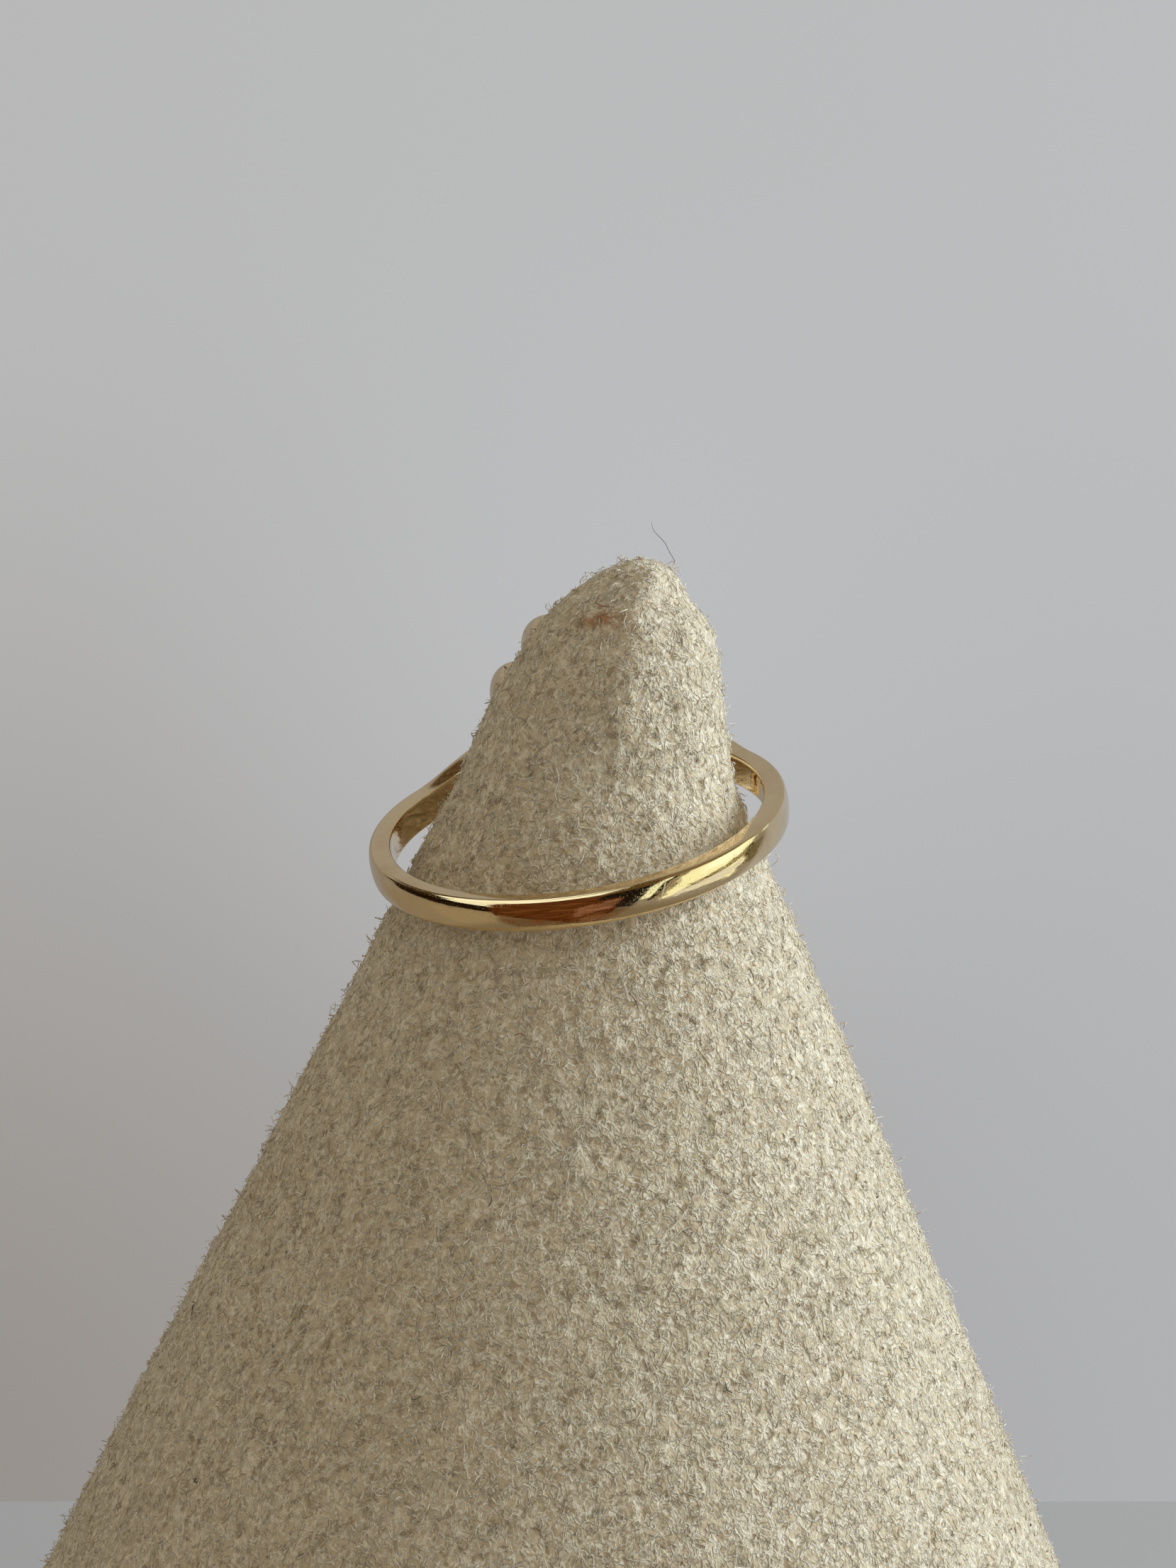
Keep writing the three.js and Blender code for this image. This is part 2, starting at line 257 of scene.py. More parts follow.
hairlines, given, result = new_group(
    "Hairline scratches",
    [("Place", VECTOR, None), ("Line width in mm", FLOAT, 0.03), ("Length ratio", FLOAT, 18.0),
     ("Coverage", FLOAT, 0.3)],
    [("Depth", FLOAT), ("Mask", FLOAT)],
)
lines_per_metre = calculate(hairlines, "DIVIDE", 0.5 / MM, given["Line width in mm"])
squash = calculate(hairlines, "DIVIDE", 1.0, given["Length ratio"])
along = add_node(hairlines, "ShaderNodeCombineXYZ", {"X": squash, "Y": 1.0, "Z": 1.0}).outputs[0]
peak = calculate(hairlines, "SUBTRACT", 0.78, times(hairlines, given["Coverage"], 0.3))
full_peak = calculate(hairlines, "ADD", peak, 0.06)
deepest = None
for turn in HAIRLINE_TURNS:
    aimed = add_node(hairlines, "ShaderNodeMapping", {"Vector": given["Place"], "Rotation": turn}).outputs[0]
    streaks = add_node(hairlines, "ShaderNodeTexNoise", {
        "Vector": vector_sum(hairlines, "MULTIPLY", aimed, along), "Scale": lines_per_metre, "Detail": 1.0,
    }).outputs["Fac"]
    line = ramp(hairlines, streaks, peak, full_peak)
    deepest = line if deepest is None else calculate(hairlines, "MAXIMUM", deepest, line)
plug(hairlines, result.inputs, {"Mask": deepest, "Depth": times(hairlines, deepest, -1.0)})
print(hairlines.name, "has", len(hairlines.nodes), "nodes")

# %% [markdown]
# Seen from close by, suede is a mat of curly fibres. The level lines of a smooth noise are thin closed
# curls, so one noise gives one layer of fibres: bright where its value is close to a half. Modelled fibres
# lie over this ground later, but they can't fill every gap. Layers are laid over each other in the skin
# material, each with its own size, and a slower noise lifts and sinks every layer.

# %% Shader group: curly fibres
curls, given, result = new_group(
    "Curly fibres",
    [("Place", VECTOR, None), ("Curl size in mm", FLOAT, 0.5), ("Thickness", FLOAT, 0.035),
     ("Layer", FLOAT, 0.0)],
    [("Height", FLOAT), ("Mask", FLOAT)],
)
curls_per_metre = calculate(curls, "DIVIDE", 1 / MM, given["Curl size in mm"])
curl_noise = add_node(curls, "ShaderNodeTexNoise", {
    "Vector": given["Place"], "W": given["Layer"], "Scale": curls_per_metre, "Detail": 1.5, "Distortion": 0.6,
}, noise_dimensions="4D").outputs["Fac"]
strand = ramp(curls, distance_from(curls, curl_noise, 0.5), 0.0, given["Thickness"], 1.0, 0.0)
lift_noise = add_node(curls, "ShaderNodeTexNoise", {
    "Vector": given["Place"], "W": calculate(curls, "ADD", given["Layer"], 7.3), "Detail": 1.0,
    "Scale": times(curls, curls_per_metre, 0.8),
}, noise_dimensions="4D").outputs["Fac"]
lift = ramp(curls, lift_noise, 0.38, 0.62, 0.15, 1.0)
plug(curls, result.inputs, {"Mask": strand, "Height": times(curls, strand, lift)})
print(curls.name, "has", len(curls.nodes), "nodes")

# %% [markdown]
# The band was closed with solder after it was bent round. The seam shows as a paler, duller line that
# slants across the dome, to the right of its middle. It could be a cut in the mesh, but a polished seam has
# no depth, so it is a mask in the metal. The mask is drawn by angle in the ring's own frame.

# %% The solder seam
SEAM_BEARING = 26.0
SEAM_SLANT = 3.3
SEAM_HALF_WIDTH = 0.30
SEAM_MIDDLE = 0.15
SEAM_REACH = (0.25, 0.5)


def solder_seam(tree, place):
    """A mask of the seam, whose bearing is from the back of the band and whose slant is in degrees a mm."""
    in_ring = add_node(tree, "ShaderNodeMapping", {
        "Vector": place, "Location": RING_MIDDLE * MM, "Rotation": ring_tilt.to_euler("XYZ"),
    }, vector_type="TEXTURE").outputs[0]
    across, away, along = add_node(tree, "ShaderNodeSeparateXYZ", {0: in_ring}).outputs
    bearing = calculate(tree, "DEGREES", calculate(tree, "ARCTAN2", across, times(tree, away, -1.0)))
    slanted = calculate(tree, "ADD", SEAM_BEARING, times(tree, along, SEAM_SLANT / MM))
    line = ramp(tree, distance_from(tree, bearing, slanted), SEAM_HALF_WIDTH * 0.4, SEAM_HALF_WIDTH, 1.0, 0.0)
    off_middle = distance_from(tree, along, SEAM_MIDDLE * MM)
    return times(tree, line, ramp(tree, off_middle, SEAM_REACH[0] * MM, SEAM_REACH[1] * MM, 1.0, 0.0))


print("seam at", SEAM_BEARING, "degrees from the back")

# %% [markdown]
# The gold is a pale yellow alloy, polished and then worn. Its colour is nearly all reflection, so the base
# colour only sets the tint. One roughness all over would look too clean to be real. Hairlines catch the
# light, a slow mottling makes some areas less bright, and a gentle waviness from hand polishing breaks up
# what is mirrored in it.

# %% Material: polished gold
GOLD_BRIGHT = (0.93, 0.72, 0.42, 1)
GOLD_DULL = (0.78, 0.56, 0.30, 1)
SOLDER = (0.95, 0.84, 0.66, 1)
WAVE_DEPTH = 0.0014
SCRATCH_DEPTH = 0.0007

gold, tree, shader = new_material("polished_gold")
place = object_place(tree)
tarnish = place_group(tree, mottling, Place=place, Patch_size_in_mm=2.4, Contrast=2.2, Detail=4.0)["Amount"]
scratches = place_group(
    tree, hairlines, Place=place, Line_width_in_mm=0.028, Length_ratio=26.0, Coverage=0.45,
)
waves = place_group(tree, mottling, Place=place, Patch_size_in_mm=1.3, Contrast=1.0, Detail=1.0)["Amount"]
seam = solder_seam(tree, place)
metal = blend_colours(tree, ramp(tree, tarnish, 0.35, 0.95, 0.0, 0.55), GOLD_BRIGHT, GOLD_DULL)
dullness = calculate(
    tree, "ADD", ramp(tree, tarnish, 0.3, 0.9, 0.02, 0.08), times(tree, scratches["Mask"], 0.10),
)
plug(tree, shader, {
    "Base Color": blend_colours(tree, times(tree, seam, 0.8), metal, SOLDER),
    "Metallic": 1.0,
    "Roughness": calculate(tree, "MAXIMUM", dullness, times(tree, seam, 0.45)),
    "Normal": bump(tree, scratches["Depth"], SCRATCH_DEPTH, bump(tree, waves, WAVE_DEPTH)),
})
print(gold.name, "has", len(tree.nodes), "nodes")

# %% [markdown]
# The stones are set in the head, which faces away from the picture. A dark red garnet is clear glass to
# Blender, with a high index of refraction. A red plastic would be simpler, but it would have no depth. Slow
# colour zoning keeps the red from being flat, and a few hairlines dull the table.

# %% Material: dark red garnet
GARNET_DEEP = (0.16, 0.004, 0.008, 1)
GARNET_BRIGHT = (0.55, 0.025, 0.035, 1)
GARNET_IOR = 1.76

garnet, tree, shader = new_material("dark_red_garnet")
place = object_place(tree)
zones = place_group(tree, mottling, Place=place, Patch_size_in_mm=1.1, Contrast=2.5, Detail=2.0)["Amount"]
rubs = place_group(tree, hairlines, Place=place, Line_width_in_mm=0.015, Length_ratio=30.0, Coverage=0.2)
plug(tree, shader, {
    "Base Color": blend_colours(tree, zones, GARNET_DEEP, GARNET_BRIGHT),
    "Roughness": ramp(tree, rubs["Mask"], 0.0, 1.0, 0.02, 0.12),
    "Transmission Weight": 0.85,
    "IOR": GARNET_IOR,
    "Coat Weight": 0.4,
    "Coat Roughness": 0.02,
})
print(garnet.name, "has", len(tree.nodes), "nodes")

# %% [markdown]
# The band is one D section swept round the finger opening. It is flat inside with eased edges, has flat
# sides, and is domed outside. Towards the head it widens and thickens into the arms. A curve with a bevel
# would keep one section all the way, so the width and thickness are worked out for each angle from the
# head.

# %% Sizes of the band
FINGER_RADIUS = 8.5
SHANK_WIDTH = 1.48
SHANK_THICKNESS = 0.93
SHANK_SIDE_FACE = 0.5
SIDE_FACE_AT_SHOULDER = 0.75
SHOULDER_THICKNESS = 1.08
SHOULDER_START = 57
ARM_SPREAD = 4.7
ARM_THICKNESS = 1.8
ARM_SIDE_SHARE = 0.8
ARM_REACH = 24


def mix(start, end, share):
    return start + (end - start) * share


def ease(low, high, value):
    share = np.clip((value - low) / (high - low), 0.0, 1.0)
    return share * share * (3 - 2 * share)


def shank_form(from_head):
    """Half width, thickness and side face of the band at an angle from the middle of the head."""
    widening = 1 - ease(0, SHOULDER_START, from_head)
    lifting = 1 - ease(ARM_REACH, SHOULDER_START, from_head)
    backward = 1 - ease(SHOULDER_START, 180, from_head)
    thickness = mix(SHANK_THICKNESS, SHOULDER_THICKNESS, backward)
    side_face = mix(SHANK_SIDE_FACE, SIDE_FACE_AT_SHOULDER, backward)
    half_width = mix(SHANK_WIDTH, ARM_SPREAD, widening) / 2
    thickness = mix(thickness, ARM_THICKNESS, lifting)
    return half_width, thickness, mix(side_face, ARM_THICKNESS * ARM_SIDE_SHARE, lifting)


print("finger opening", 2 * FINGER_RADIUS, "mm, band", SHANK_WIDTH, "by", SHANK_THICKNESS, "mm at the back")

# %% [markdown]
# The dome is low, and it turns into the flat sides round a tight corner. That corner is the bright line
# that runs round the real band. A bevel modifier could round it, but it would leave a kink where it meets
# the dome, and a mirror shows every kink. So the corner is a conic arc that touches both the side and the
# dome.

# %% Section of the band
INNER_EDGE = 0.12
DOME_SHARE = 0.8
CORNER_SHARE = 0.6
CORNER_FACES = 10
CORNER_ROUND = 0.79
CROWN_POINTS = 19
INNER_POINTS = 7
BAND_STEPS = 432


def round_corner(control, share):
    """A point of the arc that leaves one line and joins another, both touched where they meet it."""
    weights = np.array(((1 - share) ** 2, 2 * CORNER_ROUND * share * (1 - share), share ** 2))
    return tuple(weights @ np.array(control) / weights.sum())


def mirrored(points):
    return [(-along, out) for along, out in reversed(points)]


def shank_section(half_width, thickness, side_face):
    """Rows of (along the finger, out from the opening) round one section."""
    flat = half_width - INNER_EDGE
    inner = [(share * flat, 0.0) for share in np.linspace(-1, 1, INNER_POINTS)]
    eased = [
        (flat + INNER_EDGE * math.sin(turn), INNER_EDGE * (1 - math.cos(turn)))
        for turn in np.radians((22.5, 45, 67.5, 90))
    ]
    rise = (thickness - side_face) * DOME_SHARE
    corner = rise * CORNER_SHARE
    edge = half_width - corner
    fall = (rise - corner) / half_width ** 2
    crown = [
        (share * edge, thickness - fall * (share * edge) ** 2) for share in np.linspace(1, -1, CROWN_POINTS)
    ]
    top = crown[0][1]
    control = ((half_width, thickness - rise), (half_width, top - 2 * fall * edge * corner), (edge, top))
    rounded = [round_corner(control, share) for share in np.linspace(0, 1, CORNER_FACES, endpoint=False)]
    return inner + eased + rounded + crown + mirrored(rounded) + mirrored(eased)


def band_points():
    rows = []
    for turn in np.linspace(0, 2 * math.pi, BAND_STEPS, endpoint=False):
        from_head = abs(math.degrees(math.atan2(math.sin(turn), math.cos(turn))))
        for along, out in shank_section(*shank_form(from_head)):
            radius = FINGER_RADIUS + out
            rows.append((radius * math.sin(turn), radius * math.cos(turn), along))
    return np.array(rows)


band_rows = band_points()
section_count = len(band_rows) // BAND_STEPS
band = make_mesh("gold_mount", band_rows, lattice_quads(BAND_STEPS, section_count, True))
face_outward(band)
print("band section has", section_count, "points")

# %% [markdown]
# The arms are parted by a pointed window, which the maker saws out before the head is soldered on. Parting
# the arms in the band's own rows would be hard. A lens shaped cutter with a boolean modifier does what the
# saw does.

# %% The window between the arms
WINDOW_LENGTH = 12.6
WINDOW_WIDTH = 3.2
WINDOW_STEPS = 40


def bezier(points, share):
    """A point of the curve that its control points shape."""
    while len(points) > 1:
        pairs = zip(points, points[1:])
        points = [tuple(mix(a, b, share) for a, b in zip(first, second)) for first, second in pairs]
    return points[0]


def window_outline():
    half, bulge = WINDOW_LENGTH / 2, WINDOW_WIDTH * 2 / 3
    over = [(-half, 0.0), (-half / 2, bulge), (half / 2, bulge), (half, 0.0)]
    upper = [bezier(over, i / WINDOW_STEPS) for i in range(WINDOW_STEPS)]
    return upper + [(-x, -z) for x, z in upper]


outline = window_outline()
cutter_rows = np.array([(x, y, z) for y in (0.0, FINGER_RADIUS + 2 * ARM_THICKNESS) for x, z in outline])
cutter = make_mesh("window_cutter", cutter_rows, lattice_quads(2, len(outline), False))
face_outward(cutter, close_ends=True)
print("window is", WINDOW_LENGTH, "by", WINDOW_WIDTH, "mm")

# %% [markdown]
# Each stone sits in a cup of sheet metal whose rim is rubbed over the stone's edge. The wall flares out
# from a narrow open back, and the rim is round where a burnisher has pressed it down. The cups and the oval
# collet in the middle differ only in size, so one profile is turned for them all, as on a lathe.

# %% Profile of a setting
STONE_CLEARANCE = 0.08
LIP_HEIGHT = 0.3
LIP_OVERLAP = 0.06
CUP_HEIGHT = 2.4
CURVE_STEPS = 8
CUP = dict(edge=1.0, base=1.12, hole=0.5, wall=0.27, height=CUP_HEIGHT)
COLLET = dict(edge=0.0, base=-0.35, hole=-0.75, wall=0.26, height=CUP_HEIGHT + 0.5)


def setting_profile(edge, base, hole, wall, height):
    """Rows of (out, up) round the wall of an open backed setting with a rounded rim."""
    # The shares below say how soon the wall flares and how round the rim is.
    seat = height - LIP_HEIGHT
    inner = edge + STONE_CLEARANCE
    outer = inner + wall
    flare = [(base, 0.0), (mix(base, outer, 0.55), seat * 0.38), (outer, seat * 0.7), (outer, seat)]
    rim = [
        (outer, seat), (outer, height + 0.04), (mix(edge, outer, 0.5), height + 0.07),
        (edge - LIP_OVERLAP, height - wall * 0.25),
    ]
    wall_rows = [bezier(flare, i / CURVE_STEPS) for i in range(CURVE_STEPS)]
    wall_rows += [bezier(rim, i / CURVE_STEPS) for i in range(CURVE_STEPS + 1)]
    bearing = [(inner, seat + LIP_HEIGHT * 0.4), (inner, seat - LIP_HEIGHT * 0.2), (hole, seat * 0.45)]
    return wall_rows + bearing + [(hole, 0.06), (mix(hole, base, 0.15), 0.0)]


def turned_wall(name, profile, half_x, half_z, middle, steps):
    """A closed profile turned round the head's axis. Half axes above 0 stretch it into an oval."""
    rows = []
    for turn in np.linspace(0, 2 * math.pi, steps, endpoint=False):
        for out, up in profile:
            rows.append((
                middle[0] + (half_x + out) * math.cos(turn),
                middle[1] + up,
                middle[2] + (half_z + out) * math.sin(turn),
            ))
    piece = make_mesh(name, np.array(rows), lattice_quads(steps, len(profile), True))
    face_outward(piece)
    return piece


print("a setting's profile has", len(setting_profile(**CUP)), "points")

# %% [markdown]
# The ten cups stand shoulder to shoulder round the collet, and their rims make the scalloped edge of the
# head. Even angles would crowd them at the oval's ends, so they are spaced by the length walked along the
# oval. No cup stands on the oval's two ends.

# %% Settings of the head
CLUSTER_HALF_WIDTH = 3.85
CLUSTER_HALF_LENGTH = 5.35
OUTER_STONES = 10
GALLERY_RISE = 1.05
CUP_BASE = FINGER_RADIUS + GALLERY_RISE
COLLET_HALF_WIDTH = 2.3
COLLET_HALF_LENGTH = 3.6
HEAD_MIDDLE = (0, CUP_BASE, 0)
CUP_SIDES = 56
COLLET_SIDES = 120
OVAL_SAMPLES = 2001


def outer_places():
    """Evenly spaced places round the cluster's oval, none at its two ends."""
    turn = np.linspace(0, 2 * math.pi, OVAL_SAMPLES)
    oval = np.stack([CLUSTER_HALF_WIDTH * np.sin(turn), CLUSTER_HALF_LENGTH * np.cos(turn)], axis=1)
    walked = np.concatenate([[0], np.cumsum(np.linalg.norm(np.diff(oval, axis=0), axis=1))])
    wanted = (np.arange(OUTER_STONES) + 0.5) / OUTER_STONES * walked[-1]
    return [tuple(np.interp(length, walked, column) for column in oval.T) for length in wanted]


settings = [
    turned_wall("cup", setting_profile(**CUP), 0, 0, (x, CUP_BASE, z), CUP_SIDES) for x, z in outer_places()
]
settings.append(turned_wall(
    "collet", setting_profile(**COLLET), COLLET_HALF_WIDTH, COLLET_HALF_LENGTH, HEAD_MIDDLE, COLLET_SIDES,
))
print("head has", len(settings), "settings")

# %% [markdown]
# A round wire rail runs under the cups and ties them to the arms. A torus can't be oval in only one of its
# two circles, so the wire's round section is turned with the function that made the settings.

# %% The gallery rail
RAIL_RADIUS = 0.42
RAIL_INSET = 0.5
WIRE_SIDES = 16
RAIL_SIDES = 140

rail_profile = [
    (RAIL_RADIUS * math.cos(turn), RAIL_RADIUS * (0.5 + math.sin(turn)))
    for turn in np.linspace(0, 2 * math.pi, WIRE_SIDES, endpoint=False)
]
rail_half_axes = (CLUSTER_HALF_WIDTH - RAIL_INSET, CLUSTER_HALF_LENGTH - RAIL_INSET)
settings.append(turned_wall("rail", rail_profile, *rail_half_axes, HEAD_MIDDLE, RAIL_SIDES))
print("rail wire is", 2 * RAIL_RADIUS, "mm thick")

# %% [markdown]
# Soldering makes one piece of metal of all this. The pieces could just cross each other, but then edges
# would show where solder fills the joint. Exact boolean modifiers make one mesh: first the window is cut,
# and then everything in the head is joined to the band. Its corners are marked sharp and the rest is shaded
# smooth, because a mirror shows every facet.

# %% Solder the mount
SHARP_ANGLE = math.radians(24)
WELD_DISTANCE = 0.002


def solder(base, cutters, joined):
    """Cuts and joins closed meshes, and leaves one mesh in place of all of them."""
    parts = bpy.data.collections.new("soldered")
    bpy.context.scene.collection.children.link(parts)
    for piece in joined:
        bpy.context.scene.collection.objects.unlink(piece)
        parts.objects.link(piece)
    for piece in cutters:
        cut = base.modifiers.new("cut", "BOOLEAN")
        cut.operation, cut.solver, cut.object = "DIFFERENCE", "EXACT", piece
    join = base.modifiers.new("join", "BOOLEAN")
    join.operation, join.solver, join.operand_type, join.collection = "UNION", "EXACT", "COLLECTION", parts
    depsgraph = bpy.context.evaluated_depsgraph_get()
    finished = bpy.data.meshes.new_from_object(base.evaluated_get(depsgraph))
    base.modifiers.clear()
    base.data = finished
    for piece in [*joined, *cutters]:
        bpy.data.objects.remove(piece)
    bpy.data.collections.remove(parts)


def mark_corners(piece, angle):
    """Welds points that lie on each other, and marks the edges that turn by more than an angle."""
    shape = bmesh.new()
    shape.from_mesh(piece.data)
    bmesh.ops.remove_doubles(shape, verts=shape.verts, dist=WELD_DISTANCE * MM)
    bmesh.ops.dissolve_degenerate(shape, edges=shape.edges, dist=WELD_DISTANCE * MM)
    for face in shape.faces:
        face.smooth = True
    for edge in shape.edges:
        edge.smooth = len(edge.link_faces) != 2 or edge.calc_face_angle(0) < angle
    shape.to_mesh(piece.data)
    shape.free()


solder(band, [cutter], settings)
in_metres = Matrix.Scale(MM, 4)
band.data.transform(in_metres @ ring_to_world @ in_metres.inverted())
mark_corners(band, SHARP_ANGLE)
band.data.materials.clear()
band.data.materials.append(gold)
band.modifiers.new("even_shading", "WEIGHTED_NORMAL").keep_sharp = True
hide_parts("ring_mount")
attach(band, "root")
count_triangles(band)

# %% [markdown]
# The cut stones keep the frame's own solids: a flat table, eight main facets above and eight below, and a
# thin girdle between. They could be made again from finer rows of points, as the metal is, but a cut stone
# has flat faces, so there is nothing to round off. They only need the garnet material.

# %% Finish of the stones
stones = [piece for name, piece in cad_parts.items() if "_stone" in name]
for stone in stones:
    stone.data.materials.clear()
    stone.data.materials.append(garnet)
print(len(stones), "stones")

# %% [markdown]
# The cone is a stiff core covered with suede. Its side is straight from the base up, and the tip is pushed
# over to one side and slopes like a shoulder. A cone primitive has no such tip, so the outline is a table
# of shares of the tip's length, as a maker's pattern would have it, smoothed so that no band shows.

# %% Outline of the cone
CONE_BASE_RADIUS = 29.9
CONE_SIDE_HEIGHT = 63.4
CONE_LEAN = 0.055
CONE_EDGE_RADIUS = 0.9
TIP_LENGTH = 13.2
CONE_SLOPE = CONE_BASE_RADIUS / CONE_SIDE_HEIGHT
TIP_END_RADIUS = CONE_SLOPE * TIP_LENGTH
TIP_DOWN = (0.235, 0.249, 0.28, 0.33, 0.38, 0.44, 0.50, 0.606, 0.703, 0.83, 0.92, 1.0)
TIP_RADIUS = (0.0, 0.14, 0.262, 0.37, 0.465, 0.58, 0.665, 0.755, 0.825, 0.90, 0.955, 1.0)
TIP_SHIFT = (0.24, 0.245, 0.215, 0.17, 0.14, 0.14, 0.135, 0.098, 0.056, 0.03, 0.015, 0.0)
TIP_ROWS = 160
SIDE_ROWS = 400
SMOOTHED_ROWS = 9


def cone_outline():
    """Rows of (radius, height, centre across) from the peak down the side and round the edge to the base."""
    depth = np.concatenate([
        np.linspace(TIP_DOWN[0] * TIP_LENGTH, TIP_LENGTH, TIP_ROWS),
        np.linspace(TIP_LENGTH, CONE_SIDE_HEIGHT - CONE_EDGE_RADIUS, SIDE_ROWS)[1:],
    ])
    in_tip = depth < TIP_LENGTH
    share = depth / TIP_LENGTH
    radius = np.where(in_tip, np.interp(share, TIP_DOWN, TIP_RADIUS) * TIP_END_RADIUS, CONE_SLOPE * depth)
    shift = np.where(in_tip, np.interp(share, TIP_DOWN, TIP_SHIFT) * TIP_END_RADIUS, 0.0)
    soft = np.hanning(SMOOTHED_ROWS) / np.hanning(SMOOTHED_ROWS).sum()
    for column in (radius, shift):
        column[5:TIP_ROWS] = np.convolve(column, soft, "same")[5:TIP_ROWS]
    height = CONE_SIDE_HEIGHT - depth
    rows = list(zip(radius, height, CONE_LEAN * height + shift))
    foot_radius, foot_height, foot_centre = rows[-1]
    for turn in np.radians(np.arange(15, 91, 15)):
        left = 1 - math.sin(turn)
        inward = CONE_EDGE_RADIUS * (1 - math.cos(turn))
        rows.append((foot_radius - inward, foot_height * left, foot_centre * left))
    return np.array(rows)


outline_rows = cone_outline()
steps_down = np.linalg.norm(np.diff(outline_rows[:, :2], axis=0), axis=1)
walked_down = np.concatenate([[0], np.cumsum(steps_down)])
SIDE_LENGTH = walked_down[-1]
print("side of the cone is", round(SIDE_LENGTH, 1), "mm long")

# %% [markdown]
# The tip has been pinched between fingers over the years. A ridge runs down from the peak on the front,
# with a hollow beside it and a soft crease across. Sculpting could make these by hand. Here each is a
# smooth hump or dip with a place, a width and a depth of its own. The rest of the suede has slow dents,
# small lumps and felted tufts, made with three sizes of noise.

# %% Dents and ridges of the suede
RIDGE_BEARING = -82.0
RIDGE_LEAN = 13.0
RIDGE_HEIGHT = 0.30
RIDGE_SPREAD = 15
RIDGE_LEANS_AT = (57.0, 60.0)
FORM_GROWS_AT = (50.5, 54.5)
FORM_ENDS_AT = (59.4, 60.2)
HOLLOW_BEARING = -128.0
HOLLOW_DEPTH = 0.22
HOLLOW_SPREAD = 30
CREASE_BEARING = -125
CREASE_SPREAD = 55
CREASE_HEIGHT = 57.1
CREASE_DEPTH = 0.14
CREASE_WIDTH = 0.38
CREASE_WANDER = 0.35
# Each row of lumps: size across, size along the height, shifts of the noise, and depth.
LUMPS = ((9.0, 9.0, (0, 0), 0.10), (1.9, 2.6, (31, 0), 0.05), (0.56, 0.70, (0, 17), 0.085))


def bearing_gap(bearing, middle):
    """Degrees between a bearing and a middle one, either way round."""
    return (bearing - middle + 180) % 360 - 180


def handled_form(bearing, height):
    """How far the handled tip stands proud of the plain outline."""
    near_tip = ease(*FORM_GROWS_AT, height) * (1 - ease(*FORM_ENDS_AT, height))
    ridge_at = RIDGE_BEARING + RIDGE_LEAN * ease(*RIDGE_LEANS_AT, height)
    ridge = RIDGE_HEIGHT * np.exp(-(bearing_gap(bearing, ridge_at) / RIDGE_SPREAD) ** 2)
    hollow = HOLLOW_DEPTH * np.exp(-(bearing_gap(bearing, HOLLOW_BEARING) / HOLLOW_SPREAD) ** 2)
    front_left = np.exp(-(bearing_gap(bearing, CREASE_BEARING) / CREASE_SPREAD) ** 4)
    wander = CREASE_WANDER * np.sin(np.radians(bearing) * 3)
    crease = CREASE_DEPTH * front_left * np.exp(-((height - CREASE_HEIGHT + wander) / CREASE_WIDTH) ** 2)
    return near_tip * (ridge - hollow) - crease


def lumps(points):
    """Dents, lumps and tufts together, one value in millimetres for each point."""
    made = np.zeros(len(points))
    for across, upward, (shift_x, shift_y), depth in LUMPS:
        for i, (x, y, z) in enumerate(points):
            made[i] += depth * noise.noise(Vector((x / across + shift_x, y / across + shift_y, z / upward)))
    return made


print("ridge at bearing", RIDGE_BEARING)

# %% [markdown]
# Skin, nap and loose fibres all have to lie on one surface. A shrinkwrap modifier could press them on it,
# but then nothing could be counted or aimed. Instead, a point of the suede is found from how far it lies
# down the side and how far round, and the same function gives the directions out of the suede, down it and
# round it.

# %% Surface of the suede
LOOK_AHEAD = 0.05
FLAT_FOOT = 1.2


def plain_cone(down, bearing):
    """Points of the outline, and the directions out of it, down it and round it."""
    turn = np.radians(bearing)
    cosine, sine, flat = np.cos(turn), np.sin(turn), np.zeros_like(turn)

    def placed(walked):
        radius, height, centre = (np.interp(walked, walked_down, outline_rows[:, k]) for k in range(3))
        return np.stack([centre + radius * cosine, radius * sine, height], axis=1)

    points = placed(down)
    downward = placed(down + LOOK_AHEAD) - points
    downward /= np.linalg.norm(downward, axis=1, keepdims=True) + 1e-9
    around = np.stack([-sine, cosine, flat], axis=1)
    outward = np.cross(downward, around)
    outward *= np.sign(np.sum(outward * np.stack([cosine, sine, flat + 0.3], axis=1), axis=1))[:, None]
    outward /= np.linalg.norm(outward, axis=1, keepdims=True) + 1e-9
    return points, outward, downward, around


def suede_surface(down, bearing):
    """Points of the dented suede and the same three directions. The foot stands flat, without lumps."""
    points, outward, downward, around = plain_cone(down, bearing)
    settled = ease(0.0, FLAT_FOOT, points[:, 2])
    proud = handled_form(bearing, points[:, 2]) + lumps(points) * settled
    return points + outward * proud[:, None], outward, downward, around


peak = suede_surface(np.array([0.0]), np.array([0.0]))[0][0]
print("peak of the suede at", round(float(peak[2]), 2), "mm")

# %% [markdown]
# The camera stands where the photograph was taken, a little above the ring and looking slightly down. A
# long lens keeps the proportions. A camera could wait until the end, but a few marks on the suede are
# placed by the pixel where they show, and the same camera turns such a pixel into a point of the cone.

# %% Camera
PICTURE_SIZE = (1659, 2212)
FOCAL_PIXELS = 4500
CAMERA_AT = np.array((2.414, -144.507, 62.628))
LOOKING_DOWN = 5.0
SENSOR = 36.0

